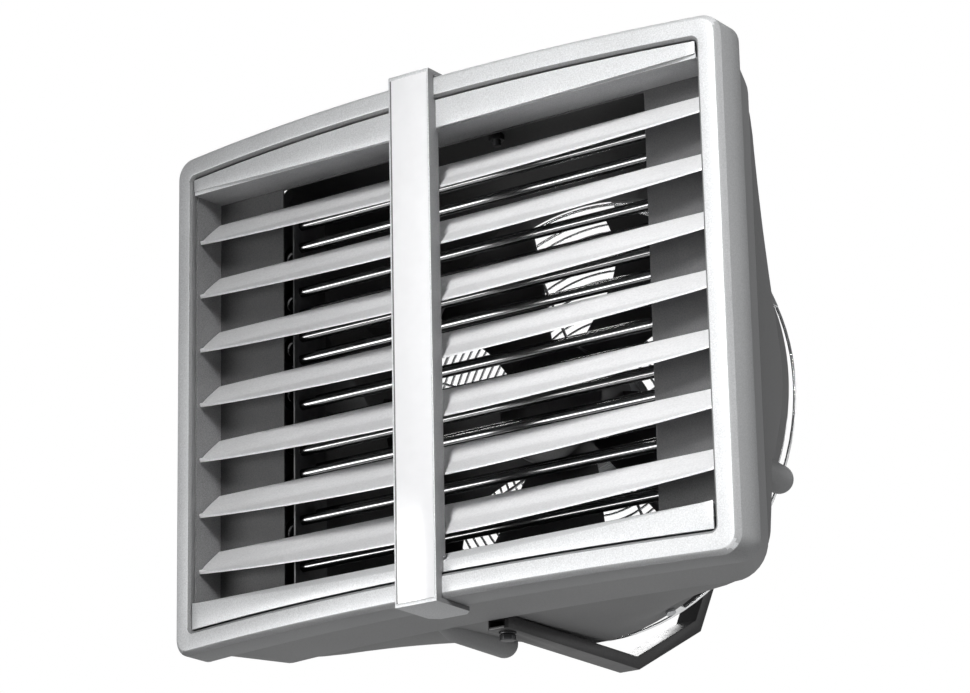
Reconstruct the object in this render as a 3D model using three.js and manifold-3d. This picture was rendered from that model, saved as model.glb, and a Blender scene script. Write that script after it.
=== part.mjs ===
// A fan heater for ceiling or wall: a louvred casing with a bare-tube coil and an axial fan,
// carried in a bent steel bracket on which it swivels.
// Millimetres, +Z up. The pieces are drawn from the middle of the casing front: x and z at the
// casing's centre, y at the foremost point of its bowed bezel. The front faces -Y. The whole
// unit is then moved so that its origin is the centre of the bracket's rear face.
import * as THREE from "three";
import { ConvexGeometry } from "three/addons/geometries/ConvexGeometry.js";
import { mergeVertices } from "three/addons/utils/BufferGeometryUtils.js";
import Module from "manifold-3d";

const wasm = await Module();
wasm.setup();

// ---------------------------------------------------------------- driving dimensions

const CLEARANCE = 0.3; // between pieces that touch
const SHEET = 1.6; // folded sheet of the duct, the shell and the hood

// Bezel: a rectangular ring whose front is bowed about a vertical axis.
const OPENING_WIDTH = 560;
const OPENING_HEIGHT = 439.4;
const BEZEL_BAND = 21.5;
const BEZEL_DEPTH = 35;
const BOW_SAGITTA = 26.4; // how far the front falls back at the sides of the opening
const BOW_STEPS = 12; // facets across the bowed front
const OUTER_CHAMFER = 4.4;
const INNER_CHAMFER = 3;
const RETURN_DEPTH = 8; // how far the inner edge is turned back
const BEZEL_CORNER = 18;
const OPENING_CORNER = 5;

// Duct behind the opening: header, sill, side plates and the baffle round the coil.
const PANEL_RECESS = 2.5; // header and sill faces behind the bezel front
const PANEL_GAP = 1.8; // dark line round the header and the sill
const HEADER_EDGE_Z = 191; // lower edge of the header in the middle
const SILL_EDGE_Z = -208.4; // upper edge of the sill in the middle
const PANEL_EDGE_SLOPE = 30; // degrees, plane on which those two edges are cut
const CEILING_Z = 202.5;
const FLOOR_Z = -194.5;
const DUCT_STEP_Y = 29; // where the ceiling and the floor start behind the edges
const BAFFLE_Y = 67;
const DUCT_TAPER = 4; // each side plate leans in towards the baffle
const COIL_WINDOW_MARGIN = 4; // window in the baffle beyond the end plates

// Louvres.
const LOUVRE_COUNT = 7;
const LOUVRE_PITCH = 53.3;
const TOP_LIP_Z = 139.7; // front lip of the top louvre in the middle
const LIP_RECESS = 12; // front lips behind the bezel front
const LOUVRE_SHEET = 1.6;
const LOUVRE_END_GAP = 0.9;
const LOUVRE_PROFILE = [
  [0, 0],
  [26.1, 17.7],
  [34, 26.1],
  [43, 34.6],
  [51.7, 42.1],
];
const LOUVRE_PIVOT = [28.5, 19.2]; // from the middle of the lip: back and up
const LOUVRE_PIN_RADIUS = 1.5;
const LOUVRE_PIN_ROOT = 12; // length of a pin inside its blade

// Strip down the middle of the front.
const STRIP_WIDTH = 44;
const STRIP_FRONT_Y = -9;
const STRIP_DEPTH = 14.5;
const STRIP_SHEET = 2;
const FOOT_THICKNESS = 4.2;
const FOOT_BACK_Y = 48;
const FOOT_CHAMFER = 8;
const INLAY_BORDER = 3;
const INLAY_RELIEF = 0.5;

// Rear shell and hood.
const SHELL_HALF_WIDTH = 297;
const SHELL_HALF_HEIGHT = 237;
const SHELL_CORNER = 33;
const CORNER_SEGMENTS = 4;
const SHELL_FRONT_Y = 27; // front edge in the middle, inside the bezel's skirt
const SHELL_SIDE_BEND_Y = 65; // the sides start to close in here
const SHELL_REAR_Y = 110; // rear edge in the middle, bowed like the front
const SHELL_REAR_HALF_WIDTH = 267;
const HOOD_INSET = 5.5;
const HOOD_LAP = 6; // start of the hood in front of the shell's rear edge, in the middle
const HOOD_FLARE = 3; // the hood is this much wider at its start than at its shoulder
const HOOD_SHOULDER = 8; // straight part of the hood behind the shell's rear edge
const HOOD_FLANGE_RECESS = 4; // flange of the hood in front of the shell's rear edge
const FAN_AXIS_Z = -12.5;
const RIM_Y = 277;
const RIM_RADIUS = 214.8;
const RIM_COLLAR = 12; // round part of the rim, in front of RIM_Y
const RIM_SIDES = 32;
const SIDE_RUN = 4; // the shell's sides run on this far past its rear edge before they are cut

// Coil of bare tubes.
const TUBE_RADIUS = 4.8;
const TUBE_PITCH = 22.05;
const TUBE_ROWS = 16;
const TUBE_TOP_Z = 168;
const COIL_FRONT_Y = 82;
const COIL_ROW_SPACING = 24;
const COIL_SIDE_ROOM = 23.9; // between the right end plate and the hood
const COIL_OFFSET_X = 6; // the coil sits to the right of the middle
const END_PLATE_BACK_Y = 118;
const END_PLATE_FOLD = 32.5; // from the web to the outer leg, round the return bends
const END_PLATE_FOOT = 18;
const BEND_STANDOFF = 6; // from the end plate to where a return bend starts

// Fan.
const FAN_TIP_GAP = 17.2; // from the blade tips to the inside of the rim
const FAN_HUB_RADIUS = 58;
const FAN_HUB_DEPTH = 56;
const FAN_FRONT_Y = 205;
const HUB_NOSE_RADIUS = 34.8;
const HUB_NOSE_HEIGHT = 4;
const HUB_BORE_START = 14; // blind bore for the shaft, behind the hub's front
const SHAFT_END_GAP = 2; // between the shaft and the bottom of its bore
const HUB_MOTOR_GAP = 2.5;
const BLADE_COUNT = 5;
const BLADE_CHORD = 92;
const BLADE_ANGLE = 28;
const BLADE_THICKNESS = 2.4;
const SHAFT_RADIUS = 6;
const MOTOR_RADIUS = 50;
const MOTOR_PLATE_RADIUS = 56;
const MOTOR_SCREW_CIRCLE = 36;

// Wire guard behind the hood.
const GUARD_BACK_Y = 300;
const GUARD_DRAW_IN = 3.9; // the outermost ring is this much smaller than the circle of the tabs
const WIRE_RADIUS = 1.5;
const GUARD_RINGS = 4;
const WIRE_SIDES = 4;
const RING_SEGMENTS = 24;
const GUARD_SPOKES = 8;
const GUARD_PLATE_THICKNESS = 2;
const GUARD_TAB_WIDTH = 14;
const GUARD_TAB_LENGTH = 26;
const GUARD_TAB_THICKNESS = 1.8;
const GUARD_TAB_STANDOFF = 2; // middle of a tab inside the rim's wall
const GUARD_TAB_SHIFT = 7; // middle of a tab behind its screw
const GUARD_EYE_BACK = 8; // free eye of a tab behind the rim
const GUARD_SCREW_RADIUS = 2.4;
const GUARD_SCREW_INSET = 5; // in front of the rim's rear edge
const GUARD_SCREW_HEAD = 3;
const MOTOR_SCREW_LENGTH = 12;
const MOTOR_SCREW_HEAD = 3.5;

// Domed stubs on the hood. Each runs from its root to the centre of its round end, and both
// points are given by their y and by how far they stand out of the hood's surface.
const STUB_RADIUS = 13;
const SIDE_STUB_Z = -125;
const SIDE_STUB_ROOT = [140, -21.6];
const SIDE_STUB_END = [220, 6.9];
const LOWER_STUB_X = -66;
const LOWER_STUB_ROOT = [130, 1.3];
const LOWER_STUB_END = [220, 0.6];

// Terminal box on the left of the hood, with its cable gland.
const TERMINAL_STANDOFF = 18.2; // face of the box beyond the hood's side at the box's front
const TERMINAL_Y = [172, 244];
const TERMINAL_Z = [20, 110];
const TERMINAL_WALL = 2.5;
const TERMINAL_REACH = 73.3; // from the face inwards, to be trimmed to the hood
const GLAND_RADIUS = 9;
const GLAND_BORE_RADIUS = 4;
const GLAND_LENGTH = 18;
const GLAND_INSET = 13; // gland axis behind the face of the box
const LID_SCREW_RADIUS = 1.5;
const LID_SCREW_INSET = 6; // from the box's edges
const LID_BOSS_RADIUS = 4;
const LID_BOSS_DEPTH = 24;

// Bracket: a rectangular steel tube bent into a bow, open at the ends of its arms.
const BRACKET_WIDTH = 22;
const BRACKET_THICKNESS = 12;
const BRACKET_WALL = 2.5;
const ARM_FRONT_Y = 112.5;
const ARM_STANDOFF = 1.2; // between an arm and the widest height of the hood
const BRACKET_BACK_Y = 505;
const BRACKET_CORNERS = [
  [329.6, null], // end of the straight arm
  [441.5, 187.5],
  [BRACKET_BACK_Y, 77.5],
];
const ARM_END_CHAMFER = 4;
const PIVOT_Y = 130;
const PIVOT_SHANK_RADIUS = 4;
const PIVOT_HEAD_ACROSS_FLATS = 13;
const PIVOT_HEAD_HEIGHT = 5.3;
const NUT_BORE_GAP = 0.2;
const WASHER_RADIUS = 8;
const WASHER_THICKNESS = 1.4;
const SPACER_GAP = 0.1;
const WALL_HOLE_RADIUS = 4.5;
const WALL_HOLE_SPACING = 90;
const NUT_HEIGHT = 6.5;
const BOLT_TAIL = 5.3; // length of the bolt beyond its nut

const DRILL = 10; // reach of a hole's cutting body past the sheet

// ---------------------------------------------------------------- derived sizes

const openingHalfWidth = OPENING_WIDTH / 2;
const openingHalfHeight = OPENING_HEIGHT / 2;
const bezelHalfWidth = openingHalfWidth + BEZEL_BAND;
const bezelHalfHeight = openingHalfHeight + BEZEL_BAND;
const louvreLength = OPENING_WIDTH + BEZEL_BAND; // blank, trimmed to the side plates
const coilBackY = COIL_FRONT_Y + COIL_ROW_SPACING;
const coilRoom = SHELL_REAR_HALF_WIDTH - HOOD_INSET - SHEET - COIL_SIDE_ROOM;
const coilHalfWidth = coilRoom - COIL_OFFSET_X - END_PLATE_FOLD;
const fanMidY = FAN_FRONT_Y + FAN_HUB_DEPTH / 2;
const fanTipRadius = RIM_RADIUS - SHEET - FAN_TIP_GAP;
const hoodHalfHeight = SHELL_HALF_HEIGHT - HOOD_INSET;
const armTopZ = -Math.max(hoodHalfHeight, RIM_RADIUS + Math.abs(FAN_AXIS_Z)) - ARM_STANDOFF;
const armUndersideZ = armTopZ - BRACKET_THICKNESS;
const coilRows = [
  [COIL_FRONT_Y, 0],
  [coilBackY, TUBE_PITCH / 2],
];
const guardPlateBackY = GUARD_BACK_Y - WIRE_RADIUS;
const guardPlateFrontY = guardPlateBackY - GUARD_PLATE_THICKNESS;
const tabRadius = RIM_RADIUS - SHEET - CLEARANCE - GUARD_TAB_STANDOFF;
const guardScrewY = RIM_Y - GUARD_SCREW_INSET;
const guardBackRadius = tabRadius - GUARD_DRAW_IN;
const baseRingY = RIM_Y + WIRE_RADIUS + CLEARANCE;
const lidScrewCentres = [
  [TERMINAL_Y[0] + LID_SCREW_INSET, TERMINAL_Z[0] + LID_SCREW_INSET],
  [TERMINAL_Y[1] - LID_SCREW_INSET, TERMINAL_Z[1] - LID_SCREW_INSET],
];
const FAR = 400; // reach of cutting bodies

// How far the front has fallen back at x.
function bow(x) {
  return BOW_SAGITTA * (x / openingHalfWidth) ** 2;
}

// ---------------------------------------------------------------- solids

function solid(geometry) {
  const bare = geometry.index ? geometry.toNonIndexed() : geometry.clone();
  bare.deleteAttribute("normal");
  bare.deleteAttribute("uv");
  const merged = mergeVertices(bare, 1e-4);
  const mesh = new wasm.Mesh({
    numProp: 3,
    vertProperties: merged.attributes.position.array,
    triVerts: new Uint32Array(merged.index.array),
  });
  return new wasm.Manifold(mesh);
}

function geometryOf(manifold) {
  const mesh = manifold.getMesh();
  const geometry = new THREE.BufferGeometry();
  geometry.setAttribute("position", new THREE.BufferAttribute(mesh.vertProperties, 3));
  geometry.setIndex(new THREE.BufferAttribute(mesh.triVerts, 1));
  geometry.computeVertexNormals();
  return geometry;
}

function box(x0, x1, y0, y1, z0, z1) {
  const geometry = new THREE.BoxGeometry(x1 - x0, y1 - y0, z1 - z0);
  geometry.translate((x0 + x1) / 2, (y0 + y1) / 2, (z0 + z1) / 2);
  return solid(geometry);
}

// A cylinder along one axis, from a to b on it.
function rod(axis, centre, radius, a, b, sides = 24) {
  const geometry = new THREE.CylinderGeometry(radius, radius, b - a, sides);
  const middle = (a + b) / 2;
  if (axis === "x") {
    geometry.rotateZ(-Math.PI / 2);
    geometry.translate(middle, centre[0], centre[1]);
  } else if (axis === "y") {
    geometry.translate(centre[0], middle, centre[1]);
  } else {
    geometry.rotateX(Math.PI / 2);
    geometry.translate(centre[0], centre[1], middle);
  }
  return solid(geometry);
}

function shapeOf(points) {
  return new THREE.Shape(points.map(([u, v]) => new THREE.Vector2(u, v)));
}

// Prism over an outline in the XY plane, from z0 to z1.
function prismZ(shape, z0, z1) {
  const geometry = new THREE.ExtrudeGeometry(shape, { depth: z1 - z0, bevelEnabled: false });
  geometry.translate(0, 0, z0);
  return solid(geometry);
}

// Prism over an outline in the XZ plane, from y0 to y1.
function prismY(shape, y0, y1, curveSegments = 6) {
  const geometry = new THREE.ExtrudeGeometry(shape, {
    depth: y1 - y0,
    bevelEnabled: false,
    curveSegments,
  });
  geometry.rotateX(Math.PI / 2);
  geometry.translate(0, y1, 0);
  return solid(geometry);
}

// Prism over an outline in the YZ plane, from x0 to x1.
function prismX(shape, x0, x1) {
  const geometry = new THREE.ExtrudeGeometry(shape, { depth: x1 - x0, bevelEnabled: false });
  geometry.applyMatrix4(
    new THREE.Matrix4().makeBasis(
      new THREE.Vector3(0, 1, 0),
      new THREE.Vector3(0, 0, 1),
      new THREE.Vector3(1, 0, 0),
    ),
  );
  geometry.translate(x0, 0, 0);
  return solid(geometry);
}

// Rounded rectangle in the XZ plane, centred at x = 0.
function roundedRectangle(halfWidth, halfHeight, radius, centreZ = 0) {
  const shape = new THREE.Shape();
  const right = halfWidth - radius;
  const top = halfHeight - radius;
  shape.absarc(right, centreZ + top, radius, 0, Math.PI / 2);
  shape.absarc(-right, centreZ + top, radius, Math.PI / 2, Math.PI);
  shape.absarc(-right, centreZ - top, radius, Math.PI, Math.PI * 1.5);
  shape.absarc(right, centreZ - top, radius, Math.PI * 1.5, Math.PI * 2);
  return shape;
}

// Everything behind the bowed surface y = offset + bow(x) + slope * (z - z0).
function behindBow(offset, slope = 0, z0 = 0, sideCut = null) {
  const half = bezelHalfWidth + 10;
  const steps = BOW_STEPS;
  const points = [];
  for (let i = 0; i <= steps; i += 1) {
    const x = -half + (2 * half * i) / steps;
    const side = sideCut ? Math.max(0, Math.abs(x) - sideCut) : 0;
    points.push([x, offset + bow(x) + side]);
  }
  points.push([half, 4 * FAR]);
  points.push([-half, 4 * FAR]);
  const geometry = new THREE.ExtrudeGeometry(shapeOf(points), {
    depth: 2 * FAR,
    bevelEnabled: false,
  });
  geometry.translate(0, 0, -FAR);
  const shear = new THREE.Matrix4().set(1, 0, 0, 0, 0, 1, slope, -slope * z0, 0, 0, 1, 0, 0, 0, 0, 1);
  geometry.applyMatrix4(shear);
  return solid(geometry);
}

function mirrorX(manifold) {
  const geometry = geometryOf(manifold);
  geometry.applyMatrix4(new THREE.Matrix4().makeScale(-1, 1, 1));
  const index = geometry.index.array;
  for (let i = 0; i < index.length; i += 3) {
    [index[i + 1], index[i + 2]] = [index[i + 2], index[i + 1]];
  }
  return solid(geometry);
}

function mirrorZ(manifold) {
  const geometry = geometryOf(manifold);
  geometry.applyMatrix4(new THREE.Matrix4().makeScale(1, 1, -1));
  const index = geometry.index.array;
  for (let i = 0; i < index.length; i += 3) {
    [index[i + 1], index[i + 2]] = [index[i + 2], index[i + 1]];
  }
  return solid(geometry);
}

// ---------------------------------------------------------------- materials

function finish(color, roughness, metalness) {
  return () => new THREE.MeshStandardMaterial({ color, roughness, metalness });
}

const silverPaint = finish(0xc9cbce, 0.42, 0.25);
const louvrePaint = finish(0xdcdde0, 0.35, 0.25);
const greyShell = finish(0x6e6f70, 0.6, 0);
const darkDuct = finish(0x3a3b3c, 0.6, 0.1);
const whiteGloss = finish(0xf6f6f7, 0.25, 0);
const blackSteel = finish(0x2b2a2b, 0.5, 0.3);
const blackPlastic = finish(0x1d1d1f, 0.5, 0);
const brightTube = finish(0xc0c2c4, 0.25, 0.9);
const galvanised = finish(0x8d9092, 0.45, 0.8);
const chromeWire = finish(0xe6e7e8, 0.25, 0.7);

const unit = new THREE.Group();

function addPiece(name, manifold, material) {
  const mesh = new THREE.Mesh(geometryOf(manifold), material());
  mesh.name = name;
  unit.add(mesh);
  return mesh;
}

// ---------------------------------------------------------------- bezel

function bezelFrame() {
  const outer = prismY(
    roundedRectangle(bezelHalfWidth, bezelHalfHeight, BEZEL_CORNER),
    -10,
    bow(bezelHalfWidth) + BEZEL_DEPTH,
  );
  const hole = prismY(roundedRectangle(openingHalfWidth, openingHalfHeight, OPENING_CORNER), -20, FAR, 3);
  // The front with its outer chamfers: down both sides in plan, and sheared planes top and bottom.
  const sideChamfer = bezelHalfWidth - OUTER_CHAMFER;
  const topChamfer = bezelHalfHeight - OUTER_CHAMFER;
  let frame = outer.intersect(behindBow(0, 0, 0, sideChamfer));
  frame = frame.intersect(behindBow(0, 1, topChamfer));
  frame = frame.intersect(behindBow(0, -1, -topChamfer));
  frame = frame.subtract(hole);
  // The inner edge is broken by a narrow chamfer.
  const innerHalfWidth = openingHalfWidth + INNER_CHAMFER;
  const innerHalfHeight = openingHalfHeight + INNER_CHAMFER;
  const mouth = prismY(roundedRectangle(innerHalfWidth, innerHalfHeight, OPENING_CORNER), -20, FAR, 3);
  frame = frame.subtract(mouth.subtract(behindBow(INNER_CHAMFER)));
  // Hollow at the back: a front band, an outer skirt and an inner return.
  const skirt = roundedRectangle(bezelHalfWidth - SHEET, bezelHalfHeight - SHEET, BEZEL_CORNER - SHEET);
  const lining = roundedRectangle(innerHalfWidth + SHEET, innerHalfHeight + SHEET, OPENING_CORNER + SHEET);
  const channel = prismY(skirt, -20, FAR).subtract(prismY(lining, -20, FAR, 3));
  frame = frame.subtract(channel.intersect(behindBow(OUTER_CHAMFER + SHEET)));
  frame = frame.subtract(prismY(skirt, -20, FAR).intersect(behindBow(RETURN_DEPTH)));
  return frame.subtract(behindBow(BEZEL_DEPTH));
}

// ---------------------------------------------------------------- duct

const edgeSlope = Math.tan(THREE.MathUtils.degToRad(PANEL_EDGE_SLOPE));
const panelHalfWidth = openingHalfWidth - PANEL_GAP;
const panelTopZ = openingHalfHeight - PANEL_GAP;

// Inner face of the side plate: it leans in from the opening to the baffle.
function ductWallX(y) {
  const t = (y - bow(openingHalfWidth)) / (BAFFLE_Y - bow(openingHalfWidth));
  return openingHalfWidth - DUCT_TAPER * t;
}

function headerPanel() {
  const stepZ = HEADER_EDGE_Z + edgeSlope * (DUCT_STEP_Y - PANEL_RECESS);
  const frontY = 0;
  const backY = BAFFLE_Y - CLEARANCE;
  const edgeAt = (y) => HEADER_EDGE_Z + edgeSlope * (y - PANEL_RECESS);
  const body = shapeOf([
    [frontY, edgeAt(frontY)],
    [DUCT_STEP_Y, stepZ],
    [DUCT_STEP_Y, CEILING_Z],
    [backY, CEILING_Z],
    [backY, panelTopZ],
    [frontY, panelTopZ],
  ]);
  const hollow = shapeOf([
    [frontY, edgeAt(frontY) + 2 * SHEET],
    [DUCT_STEP_Y + SHEET, stepZ + 1.8 * SHEET],
    [DUCT_STEP_Y + SHEET, CEILING_Z + SHEET],
    [FAR, CEILING_Z + SHEET],
    [FAR, panelTopZ - SHEET],
    [frontY, panelTopZ - SHEET],
  ]);
  const shell = prismX(body, -panelHalfWidth, panelHalfWidth).intersect(behindBow(PANEL_RECESS));
  const inside = prismX(hollow, -FAR, FAR).intersect(behindBow(PANEL_RECESS + SHEET));
  return shell.subtract(inside).subtract(ductSides());
}

function sillPanel() {
  const edgeAt = (y) => SILL_EDGE_Z + edgeSlope * (y - PANEL_RECESS);
  const stepZ = FLOOR_Z;
  const frontY = 0;
  const backY = BAFFLE_Y - CLEARANCE;
  const stepY = PANEL_RECESS + (FLOOR_Z - SILL_EDGE_Z) / edgeSlope;
  const body = shapeOf([
    [frontY, -panelTopZ],
    [backY, -panelTopZ],
    [backY, stepZ],
    [stepY, stepZ],
    [frontY, edgeAt(frontY)],
  ]);
  const hollow = shapeOf([
    [frontY, -panelTopZ + SHEET],
    [FAR, -panelTopZ + SHEET],
    [FAR, stepZ - SHEET],
    [stepY + SHEET, stepZ - SHEET],
    [frontY, edgeAt(frontY) - 2 * SHEET],
  ]);
  const shell = prismX(body, -panelHalfWidth, panelHalfWidth).intersect(behindBow(PANEL_RECESS));
  const inside = prismX(hollow, -FAR, FAR).intersect(behindBow(PANEL_RECESS + SHEET));
  return shell.subtract(inside).subtract(ductSides());
}

// The room from the side plates outwards, with clearance; header and sill end there.
function ductSides() {
  const sideRoom = sidePlateOutline(-CLEARANCE, 20);
  const right = prismZ(shapeOf(sideRoom), -FAR, FAR);
  return right.add(mirrorX(right));
}

function sidePlateOutline(inner, outer) {
  const frontY = bow(openingHalfWidth + SHEET) + RETURN_DEPTH + 2 * CLEARANCE;
  return [
    [ductWallX(frontY) + inner, frontY],
    [ductWallX(frontY) + outer, frontY],
    [ductWallX(BAFFLE_Y) + outer, BAFFLE_Y - CLEARANCE],
    [ductWallX(BAFFLE_Y) + inner, BAFFLE_Y - CLEARANCE],
  ];
}

function louvrePivotZ(index) {
  return TOP_LIP_Z - LOUVRE_PITCH * index + LOUVRE_PIVOT[1];
}

const louvrePivotY = LIP_RECESS + LOUVRE_PIVOT[0];

function sidePlate() {
  const wallX = ductWallX(louvrePivotY);
  let plate = prismZ(shapeOf(sidePlateOutline(0, SHEET)), -panelTopZ, panelTopZ);
  for (let i = 0; i < LOUVRE_COUNT; i += 1) {
    const centre = [louvrePivotY, louvrePivotZ(i)];
    const radius = LOUVRE_PIN_RADIUS + CLEARANCE;
    plate = plate.subtract(rod("x", centre, radius, wallX - DRILL, wallX + SHEET + DRILL, 8));
  }
  return plate;
}

function coilBaffle() {
  const taper = (SHELL_HALF_WIDTH - SHELL_REAR_HALF_WIDTH) / (SHELL_REAR_Y - SHELL_SIDE_BEND_Y);
  const lean = taper * (BAFFLE_Y + SHEET - SHELL_SIDE_BEND_Y);
  const outline = roundedRectangle(
    SHELL_HALF_WIDTH - SHEET - 2 * CLEARANCE - lean,
    SHELL_HALF_HEIGHT - SHEET - 2 * CLEARANCE,
    SHELL_CORNER - SHEET,
  );
  const half = coilHalfWidth + COIL_WINDOW_MARGIN;
  const window = box(-half, half, 0, FAR, FLOOR_Z + 1, CEILING_Z - 1);
  return prismY(outline, BAFFLE_Y, BAFFLE_Y + SHEET, CORNER_SEGMENTS).subtract(window);
}

// ---------------------------------------------------------------- louvres

function louvre(index) {
  const lipY = LIP_RECESS;
  const lipZ = TOP_LIP_Z - LOUVRE_PITCH * index;
  const upper = LOUVRE_PROFILE.map(([back, up]) => [lipY + back, lipZ + up]);
  const lower = LOUVRE_PROFILE.map(([back, up]) => [lipY + back, lipZ + up - 1.3 * LOUVRE_SHEET]);
  const outline = shapeOf([...lower, ...upper.reverse()]);
  const half = louvreLength / 2;
  let blade = prismX(outline, -half, half).intersect(behindBow(LIP_RECESS));
  const trimmed = [
    [ductWallX(0) - LOUVRE_END_GAP, 0],
    [ductWallX(BAFFLE_Y) - LOUVRE_END_GAP, BAFFLE_Y],
    [-ductWallX(BAFFLE_Y) + LOUVRE_END_GAP, BAFFLE_Y],
    [-ductWallX(0) + LOUVRE_END_GAP, 0],
  ];
  const room = prismZ(shapeOf(trimmed), -FAR, FAR);
  const centre = [louvrePivotY, louvrePivotZ(index)];
  const wallX = ductWallX(louvrePivotY);
  const pin = rod("x", centre, LOUVRE_PIN_RADIUS, wallX - LOUVRE_PIN_ROOT, wallX + SHEET + 1, 8);
  blade = blade.intersect(room);
  return blade.add(pin).add(mirrorX(pin));
}

// ---------------------------------------------------------------- strip

function centreStrip() {
  const half = STRIP_WIDTH / 2;
  const backY = STRIP_FRONT_Y + STRIP_DEPTH;
  const footInner = bezelHalfHeight + CLEARANCE;
  const footOuter = footInner + FOOT_THICKNESS;
  let strip = box(-half, half, STRIP_FRONT_Y, backY, -footOuter, footOuter);
  const walls = half - STRIP_SHEET;
  strip = strip.subtract(
    box(-walls, walls, STRIP_FRONT_Y + STRIP_SHEET, FAR, -footInner, footInner),
  );
  // The side walls stand back from the header, the sill and the bezel band.
  const bandRoom = box(-FAR, FAR, -CLEARANCE, FAR, openingHalfHeight - 2, footInner);
  const headerRoom = box(-FAR, FAR, PANEL_RECESS - CLEARANCE, FAR, HEADER_EDGE_Z - 4, footInner);
  const sillRoom = box(-FAR, FAR, PANEL_RECESS - CLEARANCE, FAR, -footInner, SILL_EDGE_Z + 4);
  strip = strip.subtract(bandRoom).subtract(mirrorZ(bandRoom));
  strip = strip.subtract(headerRoom).subtract(sillRoom);
  // A foot wraps over the bezel at the top and under it at the bottom.
  const foot = prismZ(
    shapeOf([
      [-half, STRIP_FRONT_Y + 1],
      [half, STRIP_FRONT_Y + 1],
      [half, FOOT_BACK_Y - FOOT_CHAMFER],
      [half - FOOT_CHAMFER, FOOT_BACK_Y],
      [-half + FOOT_CHAMFER, FOOT_BACK_Y],
      [-half, FOOT_BACK_Y - FOOT_CHAMFER],
    ]),
    -footOuter,
    -footInner,
  );
  strip = strip.add(foot).add(mirrorZ(foot));
  // Shallow recess for the inlay.
  return strip.subtract(inlayBlock(INLAY_RELIEF, 0));
}

function inlayBlock(sink, shrink) {
  const half = STRIP_WIDTH / 2 - INLAY_BORDER / 2 - shrink;
  const tall = bezelHalfHeight + FOOT_THICKNESS - INLAY_BORDER - shrink;
  return box(-half, half, STRIP_FRONT_Y - 1, STRIP_FRONT_Y + sink, -tall, tall);
}

function stripInlay() {
  const blank = inlayBlock(INLAY_RELIEF - 0.05, CLEARANCE);
  return blank.intersect(box(-FAR, FAR, STRIP_FRONT_Y - 0.15, FAR, -FAR, FAR));
}

// ---------------------------------------------------------------- shell and hood

// Points of a rounded rectangle in the plane y = depth(x), for convex bodies.
function outlinePoints(halfWidth, halfHeight, radius, depth) {
  const points = [];
  const corners = [
    [1, 1, 0],
    [-1, 1, 0.5],
    [-1, -1, 1],
    [1, -1, 1.5],
  ];
  for (const [sx, sz, turn] of corners) {
    for (let i = 0; i <= CORNER_SEGMENTS; i += 1) {
      const a = Math.PI * (turn + (0.5 * i) / CORNER_SEGMENTS);
      const x = sx * (halfWidth - radius) + radius * Math.cos(a);
      const z = sz * (halfHeight - radius) + radius * Math.sin(a);
      points.push(new THREE.Vector3(x, depth(x), z));
    }
  }
  return points;
}

function shellBlock(inset) {
  const front = outlinePoints(
    SHELL_HALF_WIDTH - inset,
    SHELL_HALF_HEIGHT - inset,
    SHELL_CORNER - inset,
    () => 0,
  );
  const bend = outlinePoints(
    SHELL_HALF_WIDTH - inset,
    SHELL_HALF_HEIGHT - inset,
    SHELL_CORNER - inset,
    () => SHELL_SIDE_BEND_Y,
  );
  const rearY = SHELL_REAR_Y + bow(SHELL_REAR_HALF_WIDTH) + SIDE_RUN;
  const rear = outlinePoints(
    SHELL_REAR_HALF_WIDTH - inset,
    SHELL_HALF_HEIGHT - inset,
    SHELL_CORNER - inset,
    () => rearY,
  );
  return solid(new ConvexGeometry([...front, ...bend, ...rear]));
}

function rearShell() {
  const walls = shellBlock(0).subtract(shellBlock(SHEET));
  // A flange round the front edge fills the bezel's skirt.
  const flangeOuter = roundedRectangle(
    bezelHalfWidth - SHEET - CLEARANCE,
    bezelHalfHeight - SHEET - CLEARANCE,
    BEZEL_CORNER - SHEET - CLEARANCE,
  );
  const flange = prismY(flangeOuter, 0, FAR)
    .subtract(behindBow(SHELL_FRONT_Y + SHEET))
    .subtract(shellBlock(SHEET));
  const shell = walls.add(flange).intersect(behindBow(SHELL_FRONT_Y));
  return shell.subtract(behindBow(SHELL_REAR_Y));
}

// The hood closes from the shell's rear outline to the round rim.
function hoodBlock(inset, extra = 0) {
  const width = SHELL_REAR_HALF_WIDTH - HOOD_INSET - inset;
  const height = hoodHalfHeight - inset;
  const corner = SHELL_CORNER - inset;
  const startY = SHELL_REAR_Y - HOOD_LAP - extra;
  const shoulderY = SHELL_REAR_Y + HOOD_SHOULDER;
  const start = outlinePoints(width + HOOD_FLARE, height, corner, (x) => startY + bow(x) / 5);
  const shoulder = outlinePoints(width, height, corner, (x) => shoulderY + bow(x));
  const rim = [];
  const radius = RIM_RADIUS - inset;
  for (let i = 0; i < RIM_SIDES; i += 1) {
    const a = (2 * Math.PI * (i + 0.5)) / RIM_SIDES;
    const collarY = RIM_Y - RIM_COLLAR;
    rim.push(new THREE.Vector3(radius * Math.sin(a), collarY, FAN_AXIS_Z + radius * Math.cos(a)));
  }
  const taper = solid(new ConvexGeometry([...start, ...shoulder, ...rim]));
  const collar = rod("y", [0, FAN_AXIS_Z], radius, RIM_Y - RIM_COLLAR - 0.5, RIM_Y + extra, RIM_SIDES);
  return taper.add(collar);
}

function fanHood() {
  const hollow = hoodBlock(SHEET, 3);
  // A flange round the front edge reaches out to the inside of the shell.
  const flangeY = SHELL_REAR_Y - HOOD_FLANGE_RECESS;
  const flange = shellBlock(SHEET + CLEARANCE)
    .intersect(behindBow(flangeY))
    .subtract(behindBow(flangeY + SHEET));
  let hood = hoodBlock(0).add(flange).subtract(hollow);
  const pivotHole = rod("z", [0, PIVOT_Y], PIVOT_SHANK_RADIUS + CLEARANCE, -FAR, FAR, 12);
  hood = hood.subtract(pivotHole);
  for (let i = 0; i < 4; i += 1) {
    hood = hood.subtract(guardScrewHole(guardTabAngle(i), guardScrewY));
  }
  return hood;
}

// ---------------------------------------------------------------- domed stubs

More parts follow.
